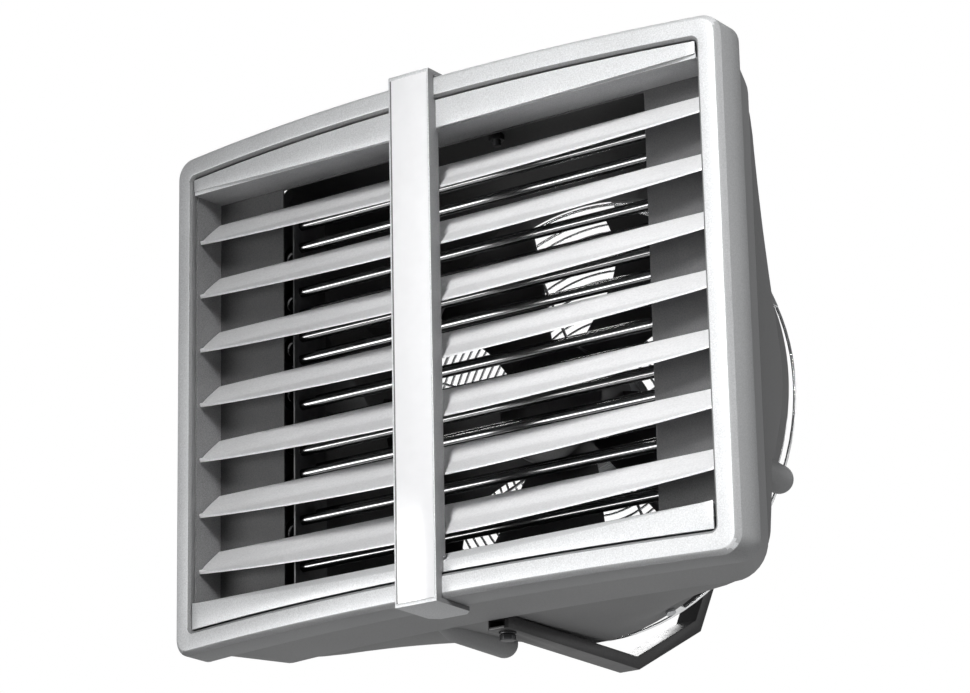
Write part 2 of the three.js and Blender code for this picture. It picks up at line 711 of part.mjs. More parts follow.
// Where the hood's surface lies at y, inside a window in x and z.
function hoodReach(x0, x1, y, z0, z1) {
  return hoodBlock(0).intersect(box(x0, x1, y - 0.5, y + 0.5, z0, z1)).boundingBox();
}

function onHoodSide([y, proud]) {
  const reach = hoodReach(0, FAR, y, SIDE_STUB_Z - 0.5, SIDE_STUB_Z + 0.5).max[0];
  return [reach + proud, y, SIDE_STUB_Z];
}

function underHood([y, proud]) {
  const reach = hoodReach(LOWER_STUB_X - 0.5, LOWER_STUB_X + 0.5, y, -FAR, 0).min[2];
  return [LOWER_STUB_X, y, reach - proud];
}

// A domed stub lying on the hood, from a to b (b is the centre of the round end).
function domedStub(a, b) {
  const from = new THREE.Vector3(...a);
  const to = new THREE.Vector3(...b);
  const length = from.distanceTo(to);
  const profile = [new THREE.Vector2(0, 0), new THREE.Vector2(STUB_RADIUS, 0)];
  const steps = 6;
  for (let i = 0; i <= steps; i += 1) {
    const angle = (Math.PI / 2) * (i / steps);
    profile.push(
      new THREE.Vector2(STUB_RADIUS * Math.cos(angle), length + STUB_RADIUS * Math.sin(angle)),
    );
  }
  profile[profile.length - 1].x = 0;
  const geometry = new THREE.LatheGeometry(profile, 16);
  const direction = to.clone().sub(from).normalize();
  const turn = new THREE.Quaternion().setFromUnitVectors(new THREE.Vector3(0, 1, 0), direction);
  geometry.applyQuaternion(turn);
  geometry.translate(from.x, from.y, from.z);
  let stub = solid(geometry);
  stub = stub.subtract(hoodBlock(-CLEARANCE, 0));
  return stub.intersect(behindBow(SHELL_REAR_Y + CLEARANCE));
}

// ---------------------------------------------------------------- coil

// One row of straight tubes joined in turn by return bends outside the end plates.
function tubeRow(y, shift) {
  const ends = coilHalfWidth + BEND_STANDOFF;
  const sides = 6;
  let row = null;
  for (let i = 0; i < TUBE_ROWS; i += 1) {
    const z = TUBE_TOP_Z - TUBE_PITCH * i - shift;
    const tube = rod("x", [y, z], TUBE_RADIUS, -ends, ends, sides);
    row = row ? row.add(tube) : tube;
  }
  for (let i = 0; i + 1 < TUBE_ROWS; i += 1) {
    const side = i % 2 === 0 ? 1 : -1;
    const z = TUBE_TOP_Z - TUBE_PITCH * (i + 0.5) - shift;
    row = row.add(returnBend(side, side * ends, y, z, sides));
  }
  return row.translate([COIL_OFFSET_X, 0, 0]);
}

// Half a ring in the plane y, open towards the tubes that it joins.
function returnBend(side, x, y, z, sides) {
  const ring = new THREE.TorusGeometry(TUBE_PITCH / 2, TUBE_RADIUS, sides, 8);
  ring.rotateX(Math.PI / 2);
  ring.translate(x, y, z);
  const reach = side * TUBE_PITCH * 2;
  const near = x - side * 1;
  const [x0, x1] = side > 0 ? [near, x + reach] : [x + reach, near];
  const half = box(x0, x1, y - FAR, y + FAR, z - FAR, z + FAR);
  return solid(ring).intersect(half);
}

// A folded end plate: the web that carries the tubes, a back leg behind the bends,
// an outer leg beside them and a foot against the baffle.
function endPlate() {
  const web = coilHalfWidth;
  const cover = web + END_PLATE_FOLD;
  const back = END_PLATE_BACK_Y;
  const front = BAFFLE_Y + SHEET + CLEARANCE;
  const outline = shapeOf([
    [web, front + SHEET],
    [web + SHEET, front + SHEET],
    [web + SHEET, back - SHEET],
    [cover - SHEET, back - SHEET],
    [cover - SHEET, front],
    [cover + END_PLATE_FOOT, front],
    [cover + END_PLATE_FOOT, front + SHEET],
    [cover, front + SHEET],
    [cover, back],
    [web, back],
  ]);
  const lowest = TUBE_TOP_Z - TUBE_PITCH * (TUBE_ROWS - 0.5);
  let plate = prismZ(outline, lowest - TUBE_PITCH / 2, TUBE_TOP_Z + TUBE_PITCH / 2);
  for (const [y, shift] of coilRows) {
    for (let i = 0; i < TUBE_ROWS; i += 1) {
      const z = TUBE_TOP_Z - TUBE_PITCH * i - shift;
      const hole = rod("x", [y, z], TUBE_RADIUS + CLEARANCE, web - DRILL, web + DRILL, 6);
      plate = plate.subtract(hole);
    }
  }
  return plate;
}

// ---------------------------------------------------------------- fan

function fanHub() {
  const hub = rod("y", [0, FAN_AXIS_Z], FAN_HUB_RADIUS, FAN_FRONT_Y, FAN_FRONT_Y + FAN_HUB_DEPTH, 24);
  const noseFront = FAN_FRONT_Y - HUB_NOSE_HEIGHT;
  const nose = rod("y", [0, FAN_AXIS_Z], HUB_NOSE_RADIUS, noseFront, FAN_FRONT_Y + 1, 24);
  const boreStart = FAN_FRONT_Y + HUB_BORE_START;
  const bore = rod("y", [0, FAN_AXIS_Z], SHAFT_RADIUS + CLEARANCE, boreStart, FAR, 16);
  return hub.add(nose).subtract(bore);
}

// A blade is a sickle outline, tangential by radial, pitched about its radius.
function fanBlade(index) {
  const halfChord = BLADE_CHORD / 2;
  const root = FAN_HUB_RADIUS - 4;
  const outline = new THREE.Shape();
  outline.moveTo(-halfChord * 0.6, root);
  outline.lineTo(halfChord * 0.6, root);
  outline.quadraticCurveTo(halfChord * 0.8, fanTipRadius * 0.7, halfChord * 1.3, fanTipRadius * 0.95);
  outline.quadraticCurveTo(halfChord * 0.3, fanTipRadius * 1.02, -halfChord * 0.7, fanTipRadius * 0.97);
  outline.quadraticCurveTo(-halfChord * 0.9, fanTipRadius * 0.6, -halfChord * 0.6, root);
  const geometry = new THREE.ExtrudeGeometry(outline, {
    depth: BLADE_THICKNESS,
    bevelEnabled: false,
    curveSegments: 5,
  });
  geometry.translate(0, 0, -BLADE_THICKNESS / 2);
  geometry.rotateX(Math.PI / 2);
  geometry.rotateZ(THREE.MathUtils.degToRad(90 - BLADE_ANGLE) - Math.PI / 2);
  geometry.rotateY((2 * Math.PI * index) / BLADE_COUNT);
  geometry.translate(0, fanMidY, FAN_AXIS_Z);
  const hubRoom = rod("y", [0, FAN_AXIS_Z], FAN_HUB_RADIUS + CLEARANCE, 0, FAR, 32);
  return solid(geometry).subtract(hubRoom);
}

function motorStator() {
  const front = FAN_FRONT_Y + FAN_HUB_DEPTH + HUB_MOTOR_GAP;
  const shaftEnd = FAN_FRONT_Y + HUB_BORE_START + SHAFT_END_GAP;
  const body = rod("y", [0, FAN_AXIS_Z], MOTOR_RADIUS, front, guardPlateFrontY - CLEARANCE, 24);
  const shaft = rod("y", [0, FAN_AXIS_Z], SHAFT_RADIUS, shaftEnd, front + 1, 16);
  let stator = body.add(shaft);
  for (let i = 0; i < 4; i += 1) {
    const bottom = guardPlateFrontY - MOTOR_SCREW_LENGTH - 2;
    stator = stator.subtract(motorScrewRod(i, GUARD_SCREW_RADIUS + CLEARANCE, bottom, FAR));
  }
  return stator;
}

function motorScrewRod(index, radius, y0, y1) {
  const angle = Math.PI / 4 + (Math.PI / 2) * index;
  const x = MOTOR_SCREW_CIRCLE * Math.cos(angle);
  const z = FAN_AXIS_Z + MOTOR_SCREW_CIRCLE * Math.sin(angle);
  return rod("y", [x, z], radius, y0, y1, 8);
}

function motorScrew(index) {
  const end = guardPlateFrontY - MOTOR_SCREW_LENGTH;
  const seat = guardPlateBackY + CLEARANCE;
  const shank = motorScrewRod(index, GUARD_SCREW_RADIUS, end, seat + 1);
  const head = motorScrewRod(index, GUARD_SCREW_RADIUS * 2, seat, guardPlateBackY + MOTOR_SCREW_HEAD);
  return shank.add(head);
}

// ---------------------------------------------------------------- guard

function guardTabAngle(index) {
  return THREE.MathUtils.degToRad(-67.5 + 90 * index);
}

// A rod along a radius of the fan circle in the plane y.
function radialRod(angle, radius, r0, r1, y, sides = 10) {
  const geometry = new THREE.CylinderGeometry(radius, radius, r1 - r0, sides);
  geometry.rotateZ(-Math.PI / 2);
  geometry.translate((r0 + r1) / 2, 0, 0);
  geometry.rotateY(-angle);
  geometry.translate(0, y, FAN_AXIS_Z);
  return solid(geometry);
}

// A screw's hole through the rim and a tab inside it.
function guardScrewHole(angle, y) {
  return radialRod(angle, GUARD_SCREW_RADIUS + CLEARANCE, tabRadius - DRILL, RIM_RADIUS + DRILL, y);
}

// A straight wire in the plane of the fan axis and one radius, from [r, y] to [r, y].
function spokeWire(angle, [r0, y0], [r1, y1]) {
  const length = Math.hypot(r1 - r0, y1 - y0);
  const geometry = new THREE.CylinderGeometry(WIRE_RADIUS, WIRE_RADIUS, length, WIRE_SIDES);
  geometry.rotateZ(Math.atan2(y1 - y0, r1 - r0) - Math.PI / 2);
  geometry.translate((r0 + r1) / 2, (y0 + y1) / 2, 0);
  geometry.rotateY(-angle);
  geometry.translate(0, 0, FAN_AXIS_Z);
  return solid(geometry);
}

function wireRing(radius, y) {
  const geometry = new THREE.TorusGeometry(radius, WIRE_RADIUS, WIRE_SIDES, RING_SEGMENTS);
  geometry.rotateX(Math.PI / 2);
  geometry.translate(0, y, FAN_AXIS_Z);
  return solid(geometry);
}

// The plate of a tab lies along the inside of the rim and stands out behind it.
function guardTab(angle) {
  const geometry = new THREE.BoxGeometry(GUARD_TAB_THICKNESS, GUARD_TAB_LENGTH, GUARD_TAB_WIDTH);
  geometry.translate(tabRadius, guardScrewY + GUARD_TAB_SHIFT, 0);
  geometry.rotateY(-angle);
  geometry.translate(0, 0, FAN_AXIS_Z);
  const screwHole = guardScrewHole(angle, guardScrewY);
  return solid(geometry).subtract(screwHole).subtract(guardScrewHole(angle, RIM_Y + GUARD_EYE_BACK));
}

function fanGuard() {
  const spokeY = GUARD_BACK_Y - WIRE_RADIUS * 1.5;
  const step = (guardBackRadius - MOTOR_PLATE_RADIUS) / GUARD_RINGS;
  let guard = rod("y", [0, FAN_AXIS_Z], MOTOR_PLATE_RADIUS, guardPlateFrontY, guardPlateBackY, 24);
  for (let i = 1; i <= GUARD_RINGS; i += 1) {
    guard = guard.add(wireRing(MOTOR_PLATE_RADIUS + step * i, GUARD_BACK_Y));
  }
  guard = guard.add(wireRing(tabRadius, baseRingY));
  for (let i = 0; i < GUARD_SPOKES; i += 1) {
    const angle = THREE.MathUtils.degToRad(22.5 + (360 / GUARD_SPOKES) * i);
    const knee = [guardBackRadius - 1, spokeY];
    guard = guard.add(spokeWire(angle, [MOTOR_PLATE_RADIUS - 10, spokeY], [knee[0] + 1, knee[1]]));
    guard = guard.add(spokeWire(angle, [knee[0], knee[1] + 0.5], [tabRadius, baseRingY - 1]));
  }
  for (let i = 0; i < 4; i += 1) {
    guard = guard.add(guardTab(guardTabAngle(i)));
    const hole = motorScrewRod(i, GUARD_SCREW_RADIUS + CLEARANCE, guardPlateFrontY - DRILL, FAR);
    guard = guard.subtract(hole);
  }
  return guard;
}

function guardScrew(index) {
  const angle = guardTabAngle(index);
  const shank = radialRod(angle, GUARD_SCREW_RADIUS, tabRadius - 4, RIM_RADIUS + 1, guardScrewY);
  const seat = RIM_RADIUS + CLEARANCE;
  const top = RIM_RADIUS + GUARD_SCREW_HEAD;
  const head = radialRod(angle, GUARD_SCREW_RADIUS * 2, seat, top, guardScrewY);
  return shank.add(head);
}

// ---------------------------------------------------------------- terminal box

const terminalFaceX = -hoodReach(0, FAR, TERMINAL_Y[0], ...TERMINAL_Z).max[0] - TERMINAL_STANDOFF;
const glandCentre = [terminalFaceX + GLAND_INSET, (TERMINAL_Y[0] + TERMINAL_Y[1]) / 2];

function terminalBox() {
  const [y0, y1] = TERMINAL_Y;
  const [z0, z1] = TERMINAL_Z;
  const wall = TERMINAL_WALL;
  const deep = terminalFaceX + TERMINAL_REACH;
  const block = box(terminalFaceX, deep, y0, y1, z0, z1).subtract(hoodBlock(-CLEARANCE));
  const hollow = box(terminalFaceX - DRILL, deep, y0 + wall, y1 - wall, z0 + wall, z1 - wall);
  const cable = rod("z", glandCentre, GLAND_BORE_RADIUS, z0 - DRILL, z0 + DRILL, 16);
  const open = block.subtract(hollow.subtract(hoodBlock(-CLEARANCE - wall)));
  let shell = open.subtract(cable);
  for (const centre of lidScrewCentres) {
    shell = shell.add(
      rod("x", centre, LID_BOSS_RADIUS, terminalFaceX, terminalFaceX + LID_BOSS_DEPTH, 12)
        .subtract(hoodBlock(-CLEARANCE)),
    );
  }
  for (const centre of lidScrewCentres) {
    const tapped = LID_SCREW_RADIUS + CLEARANCE;
    shell = shell.subtract(rod("x", centre, tapped, -FAR, terminalFaceX + LID_BOSS_DEPTH / 2, 8));
  }
  return shell;
}

function terminalLid() {
  const x1 = terminalFaceX - CLEARANCE;
  let lid = box(x1 - TERMINAL_WALL, x1, ...TERMINAL_Y, ...TERMINAL_Z);
  for (const centre of lidScrewCentres) {
    lid = lid.subtract(rod("x", centre, LID_SCREW_RADIUS + CLEARANCE, -FAR, 0, 8));
  }
  return lid;
}

function lidScrew(centre) {
  const face = terminalFaceX - CLEARANCE - TERMINAL_WALL;
  const shank = rod("x", centre, LID_SCREW_RADIUS, face - 1, face + LID_BOSS_DEPTH / 2, 8);
  return shank.add(rod("x", centre, 2 * LID_SCREW_RADIUS, face - 2.2, face - CLEARANCE, 12));
}

function cableGland() {
  const top = TERMINAL_Z[0] - CLEARANCE;
  const flange = rod("z", glandCentre, GLAND_RADIUS + 2, top - 4, top, 6);
  const nut = rod("z", glandCentre, GLAND_RADIUS, top - GLAND_LENGTH, top - 3, 16);
  return flange.add(nut).subtract(rod("z", glandCentre, GLAND_BORE_RADIUS, top - 40, top + 5, 16));
}

// ---------------------------------------------------------------- bracket

// The outer side of the bow in the YZ plane, from the lower arm round to the upper one.
const bracketHalf = [[ARM_FRONT_Y, null], ...BRACKET_CORNERS].map(([y, z]) => [y, z ?? -armUndersideZ]);
const bracketOuter = [...bracketHalf.map(([y, z]) => [y, -z]), ...bracketHalf.toReversed()];

// The same line moved inwards, mitred at its corners, and lengthened at its open ends.
function inward(line, distance, lengthen = 0) {
  const moved = [];
  for (let i = 0; i < line.length; i += 1) {
    const here = new THREE.Vector2(...line[i]);
    const before = i > 0 ? new THREE.Vector2(...line[i - 1]) : null;
    const after = i + 1 < line.length ? new THREE.Vector2(...line[i + 1]) : null;
    const along = [];
    if (before) along.push(here.clone().sub(before).normalize());
    if (after) along.push(after.clone().sub(here).normalize());
    const normals = along.map((d) => new THREE.Vector2(-d.y, d.x));
    const mitre = normals.reduce((sum, n) => sum.add(n), new THREE.Vector2()).normalize();
    const reach = distance / mitre.dot(normals[0]);
    const point = here.add(mitre.multiplyScalar(reach));
    if (!before || !after) point.x -= lengthen;
    moved.push([point.x, point.y]);
  }
  return moved;
}

function bracketBow() {
  const half = BRACKET_WIDTH / 2;
  const band = shapeOf([...bracketOuter, ...inward(bracketOuter, BRACKET_THICKNESS).reverse()]);
  const bore = shapeOf([
    ...inward(bracketOuter, BRACKET_WALL, 5),
    ...inward(bracketOuter, BRACKET_THICKNESS - BRACKET_WALL, 5).reverse(),
  ]);
  let bowTube = prismX(band, -half, half);
  bowTube = bowTube.subtract(prismX(bore, -half + BRACKET_WALL, half - BRACKET_WALL));
  // The corners of the arm ends are cut off so that they swing past the shell.
  const cut = new THREE.Shape();
  cut.moveTo(-half + ARM_END_CHAMFER, ARM_FRONT_Y - 1);
  cut.lineTo(-half - 1, ARM_FRONT_Y + ARM_END_CHAMFER);
  cut.lineTo(-half - 1, ARM_FRONT_Y - 1);
  const corner = prismZ(cut, -FAR, FAR);
  bowTube = bowTube.subtract(corner).subtract(mirrorX(corner));
  const pivotHole = rod("z", [0, PIVOT_Y], PIVOT_SHANK_RADIUS + CLEARANCE, -FAR, FAR, 12);
  bowTube = bowTube.subtract(pivotHole);
  for (const side of [-1, 1]) {
    const z = (side * WALL_HOLE_SPACING) / 2;
    bowTube = bowTube.subtract(rod("y", [0, z], WALL_HOLE_RADIUS, BRACKET_BACK_Y - 40, FAR * 2, 12));
  }
  return bowTube;
}

// Bolt, washer, spacer and nut at the pivots: side is -1 below and 1 above. Each piece is
// drawn below, and mirrored for the pivot above.
const hexRadius = PIVOT_HEAD_ACROSS_FLATS / Math.sqrt(3);

function atSide(body, side) {
  return side > 0 ? mirrorZ(body) : body;
}

// Height inside the hood at which a nut sits, drawn below.
function nutSeatZ(side) {
  const column = rod("z", [0, PIVOT_Y], hexRadius, -FAR, FAR, 6);
  const reach = hoodBlock(SHEET + 2 * CLEARANCE).intersect(column).boundingBox();
  return side > 0 ? -reach.max[2] : reach.min[2];
}

function pivotBolt(side) {
  const headTop = armUndersideZ - WASHER_THICKNESS - 2 * CLEARANCE;
  const head = rod("z", [0, PIVOT_Y], hexRadius, headTop - PIVOT_HEAD_HEIGHT, headTop, 6);
  const end = nutSeatZ(side) + NUT_HEIGHT + BOLT_TAIL;
  const shank = rod("z", [0, PIVOT_Y], PIVOT_SHANK_RADIUS, headTop - 1, end, 16);
  return atSide(head.add(shank), side);
}

function pivotWasher(side) {
  const top = armUndersideZ - CLEARANCE;
  return atSide(ringZ(WASHER_RADIUS, top - WASHER_THICKNESS, top), side);
}

// The spacer and the nut are trimmed to the slope of the hood between them.
function pivotSpacer(side) {
  const blank = ringZ(WASHER_RADIUS, armTopZ + SPACER_GAP, -hoodHalfHeight + DRILL);
  return atSide(blank, side).subtract(hoodBlock(-SPACER_GAP));
}

function pivotNut(side) {
  const bottom = nutSeatZ(side);
  const nut = rod("z", [0, PIVOT_Y], hexRadius, bottom, bottom + NUT_HEIGHT, 6);
  const boreRadius = PIVOT_SHANK_RADIUS + NUT_BORE_GAP;
  const bore = rod("z", [0, PIVOT_Y], boreRadius, bottom - DRILL, bottom + 2 * DRILL, 16);
  return atSide(nut.subtract(bore), side).intersect(hoodBlock(SHEET + 2 * CLEARANCE));
}

function ringZ(radius, z0, z1) {
  const ring = rod("z", [0, PIVOT_Y], radius, z0, z1, 16);
  return ring.subtract(rod("z", [0, PIVOT_Y], PIVOT_SHANK_RADIUS + CLEARANCE, z0 - 5, z1 + 5, 12));
}

// ---------------------------------------------------------------- assembly

addPiece("front_bezel", bezelFrame(), silverPaint);
addPiece("header_panel", headerPanel(), silverPaint);
addPiece("sill_panel", sillPanel(), silverPaint);
const rightSidePlate = sidePlate();
addPiece("side_plate_right", rightSidePlate, darkDuct);
addPiece("side_plate_left", mirrorX(rightSidePlate), darkDuct);
addPiece("coil_baffle", coilBaffle(), darkDuct);
for (let i = 0; i < LOUVRE_COUNT; i += 1) {
  addPiece(`louvre_${i + 1}`, louvre(i), louvrePaint);
}
addPiece("centre_strip", centreStrip(), silverPaint);
addPiece("strip_inlay", stripInlay(), whiteGloss);
addPiece("rear_shell", rearShell(), greyShell);
addPiece("fan_hood", fanHood(), greyShell);
addPiece("side_stub", domedStub(onHoodSide(SIDE_STUB_ROOT), onHoodSide(SIDE_STUB_END)), greyShell);
addPiece("lower_stub", domedStub(underHood(LOWER_STUB_ROOT), underHood(LOWER_STUB_END)), greyShell);
coilRows.forEach(([y, shift], i) => {
  addPiece(`coil_tubes_${i + 1}`, tubeRow(y, shift), brightTube);
});
const rightEndPlate = endPlate();
const coilShift = [COIL_OFFSET_X, 0, 0];
addPiece("coil_end_plate_right", rightEndPlate.translate(coilShift), galvanised);
addPiece("coil_end_plate_left", mirrorX(rightEndPlate).translate(coilShift), galvanised);
addPiece("fan_hub", fanHub(), blackPlastic);
for (let i = 0; i < BLADE_COUNT; i += 1) {
  addPiece(`fan_blade_${i + 1}`, fanBlade(i), blackPlastic);
}
addPiece("motor_stator", motorStator(), galvanised);
addPiece("fan_guard", fanGuard(), chromeWire);
for (let i = 0; i < 4; i += 1) {
  addPiece(`motor_screw_${i + 1}`, motorScrew(i), galvanised);
  addPiece(`guard_screw_${i + 1}`, guardScrew(i), galvanised);
}
addPiece("terminal_box", terminalBox(), blackPlastic);
addPiece("terminal_lid", terminalLid(), blackPlastic);
lidScrewCentres.forEach((centre, i) => {
  addPiece(`lid_screw_${i + 1}`, lidScrew(centre), galvanised);
});
addPiece("cable_gland", cableGland(), blackPlastic);
addPiece("bracket_bow", bracketBow(), blackSteel);
for (const [place, side] of Object.entries({ lower: -1, upper: 1 })) {
  addPiece(`pivot_bolt_${place}`, pivotBolt(side), blackSteel);
  addPiece(`pivot_washer_${place}`, pivotWasher(side), blackSteel);
  addPiece(`pivot_spacer_${place}`, pivotSpacer(side), galvanised);
  addPiece(`pivot_nut_${place}`, pivotNut(side), galvanised);
}

unit.position.y = -BRACKET_BACK_Y;
export default unit;
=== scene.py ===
"""Looks of the louvred fan heater in its bent steel bow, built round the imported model."""

import math

import bmesh
import bpy
from mathutils import Matrix, Vector


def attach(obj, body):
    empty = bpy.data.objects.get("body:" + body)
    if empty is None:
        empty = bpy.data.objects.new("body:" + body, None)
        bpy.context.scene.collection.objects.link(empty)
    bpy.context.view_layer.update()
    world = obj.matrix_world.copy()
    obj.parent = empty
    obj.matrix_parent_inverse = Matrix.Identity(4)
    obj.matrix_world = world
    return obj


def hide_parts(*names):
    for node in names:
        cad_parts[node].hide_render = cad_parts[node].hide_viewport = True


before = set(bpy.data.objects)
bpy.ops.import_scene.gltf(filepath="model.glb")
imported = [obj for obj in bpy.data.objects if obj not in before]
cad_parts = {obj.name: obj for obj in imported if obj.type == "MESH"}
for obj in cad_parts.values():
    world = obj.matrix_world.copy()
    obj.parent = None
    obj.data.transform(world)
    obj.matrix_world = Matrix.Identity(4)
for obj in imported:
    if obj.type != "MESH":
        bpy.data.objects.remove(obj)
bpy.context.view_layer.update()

# ---- View and studio -----------------------------------------------------------------
# A long lens looks up at the heater from its right. A narrow key lamp in front, above and
# to the right throws the shadows, and soft fills light the right side, the underside and
# the back. One lamp is there only to shine along the tubes.
CAMERA_PLACE = (1.7931, -2.9973, -1.0055)
azimuth, elevation, roll = (math.radians(angle) for angle in (34.632, -17.934, -1.21))
camera_data = bpy.data.cameras.new("studio_camera")
camera_data.sensor_width = 36
camera_data.lens = 136.16
camera_data.clip_start, camera_data.clip_end = 0.1, 100
camera = bpy.data.objects.new("studio_camera", camera_data)
camera.matrix_world = (
    Matrix.Translation(CAMERA_PLACE)
    @ Matrix.Rotation(azimuth, 4, "Z")
    @ Matrix.Rotation(math.pi / 2 - elevation, 4, "X")
    @ Matrix.Rotation(roll, 4, "Z")
)
bpy.context.scene.collection.objects.link(camera)
bpy.context.scene.camera = camera
bpy.context.scene.view_settings.view_transform = "Standard"

middle = Vector((0, -0.3, 0))
right_louvres = Vector((0.24, -0.5, -0.05))


def lamp(name, direction, distance, size, watts, aim=middle, beam=180, shine_only=False):
    """A soft lamp of a width and height, placed in a direction from the point it is aimed at."""
    data = bpy.data.lights.new(name, "AREA")
    data.shape, data.energy, data.spread = "RECTANGLE", watts, math.radians(beam)
    data.size, data.size_y = size
    placed = bpy.data.objects.new(name, data)
    towards = Vector(direction).normalized()
    placed.location = aim + towards * distance
    placed.rotation_euler = towards.to_track_quat("Z", "Y").to_euler()
    placed.visible_camera = False
    placed.visible_diffuse = not shine_only
    bpy.context.scene.collection.objects.link(placed)


lamp("key_lamp", (0.40, -1.0, 0.47), 2.6, (0.24, 0.9), 3.85, aim=right_louvres, beam=34)
lamp("side_fill", (1.0, 0.7, 0.2), 4.0, (1.6, 1.6), 24)
lamp("low_fill", (0.2, -0.4, -1.0), 2.6, (3.0, 3.0), 7)
lamp("tube_shine", (-0.54, -0.80, -0.22), 3.0, (1.6, 1.2), 100, shine_only=True)
lamp("back_fill", (-0.7, 1.0, 0.5), 4.0, (1.6, 1.6), 8, beam=60)


def bright_to_the_eye(nodes, links, mix, rays):
    """Camera rays and the named others take a mix shader's second input."""
    seen = nodes.new("ShaderNodeLightPath")
    before = seen.outputs["Is Camera Ray"]
    for ray in rays:
        either = nodes.new("ShaderNodeMath")
        either.operation = "MAXIMUM"
        links.new(before, either.inputs[0])
        links.new(seen.outputs[ray], either.inputs[1])
        before = either.outputs[0]
    links.new(before, mix.inputs["Fac"])


world = bpy.data.worlds.new("studio_world")
bpy.context.scene.world = world
world.use_nodes = True
sky = world.node_tree.nodes
sky_links = world.node_tree.links
sky.clear()
around = sky.new("ShaderNodeBackground")
around.inputs["Color"].default_value = (0.97, 0.98, 1.0, 1)
around.inputs["Strength"].default_value = 0.14
white = sky.new("ShaderNodeBackground")
white.inputs["Color"].default_value = (1, 1, 1, 1)
white.inputs["Strength"].default_value = 1.0
sky_mix = sky.new("ShaderNodeMixShader")
sky_out = sky.new("ShaderNodeOutputWorld")
bright_to_the_eye(sky, sky_links, sky_mix, ["Is Transmission Ray"])
sky_links.new(around.outputs[0], sky_mix.inputs[1])
sky_links.new(white.outputs[0], sky_mix.inputs[2])
sky_links.new(sky_mix.outputs[0], sky_out.inputs["Surface"])

FLOOR_HALF = 25
FLOOR_LEVEL = -2.9
floor_bm = bmesh.new()
bmesh.ops.create_grid(floor_bm, x_segments=8, y_segments=8, size=FLOOR_HALF)
bmesh.ops.translate(floor_bm, verts=floor_bm.verts, vec=(0, 0, FLOOR_LEVEL))
floor_mesh = bpy.data.meshes.new("floor")
floor_bm.to_mesh(floor_mesh)
floor_bm.free()
floor_finish = bpy.data.materials.new("pale_floor")
floor_finish.use_nodes = True
floor_nodes, floor_links = floor_finish.node_tree.nodes, floor_finish.node_tree.links
floor_shader = floor_nodes["Principled BSDF"]
floor_shader.inputs["Base Color"].default_value = (0.8, 0.8, 0.8, 1)
floor_shader.inputs["Roughness"].default_value = 0.9
pale = floor_nodes.new("ShaderNodeEmission")
pale.inputs["Strength"].default_value = 0.75
floor_mix = floor_nodes.new("ShaderNodeMixShader")
floor_links.new(floor_shader.outputs[0], floor_mix.inputs[1])
floor_links.new(pale.outputs[0], floor_mix.inputs[2])
floor_links.new(floor_mix.outputs[0], floor_nodes["Material Output"].inputs["Surface"])
bright_to_the_eye(floor_nodes, floor_links, floor_mix, ["Is Glossy Ray", "Is Transmission Ray"])
floor_mesh.materials.append(floor_finish)
floor = bpy.data.objects.new("floor", floor_mesh)
bpy.context.scene.collection.objects.link(floor)

# ---- Bezel ---------------------------------------------------------------------------
# The front frame: pressed sheet with fine-grained silver paint, bowed about an upright
# axis, chamfered outside, with a skirt at the back and its inner edge turned in.
# Meshes are drawn in millimetres from the middle of this front, and seated in metres.
FRONT_TO_WALL = 505.0
SAGITTA = 26.4
OPENING_HALF = (280.0, 219.7)
OPENING_RADIUS = 5.0
BEZEL_HALF = (301.5, 241.2)
BEZEL_RADIUS = 18.0
SKIRT_DEPTH = 35.0
CHAMFER = 4.4
TURNED_IN = 8.0
EDGE_ROLL = 3.0
SHEET = 1.6
STEPS_ACROSS = 48
MERGED_WITHIN = 0.005
SLIVER = 0.002
CREASE = math.radians(28)
EDGE_REACH = 2.6
EDGE_FRONT = -0.97
FLANK_REACH = 5.0
FLANK_FRONT = -0.93


def bow(x):
    """How far the front has fallen back at x."""
    return SAGITTA * (x / OPENING_HALF[0]) ** 2


def grain_group():
    """Fine speckle and slow clouding for paint and moulded plastic."""
    group = bpy.data.node_groups.new("paint_grain", "ShaderNodeTree")
    face = group.interface
    face.new_socket("Vector", in_out="INPUT", socket_type="NodeSocketVector")
    for name, value in (("Fine", 900.0), ("Broad", 9.0)):
        face.new_socket(name, in_out="INPUT", socket_type="NodeSocketFloat").default_value = value
    for name in ("Speckle", "Cloud"):
        face.new_socket(name, in_out="OUTPUT", socket_type="NodeSocketFloat")
    nodes, links = group.nodes, group.links
    inside, outside = nodes.new("NodeGroupInput"), nodes.new("NodeGroupOutput")
    for size, detail, result in (("Fine", 2.0, "Speckle"), ("Broad", 4.0, "Cloud")):
        noise = nodes.new("ShaderNodeTexNoise")
        noise.inputs["Detail"].default_value = detail
        noise.inputs["Roughness"].default_value = 0.6
        spread = nodes.new("ShaderNodeMapRange")
        spread.inputs["From Min"].default_value = 0.32
        spread.inputs["From Max"].default_value = 0.68
        links.new(inside.outputs["Vector"], noise.inputs["Vector"])
        links.new(inside.outputs[size], noise.inputs["Scale"])
        links.new(noise.outputs["Fac"], spread.inputs["Value"])
        links.new(spread.outputs["Result"], outside.inputs[result])
    return group


paint_grain = grain_group()


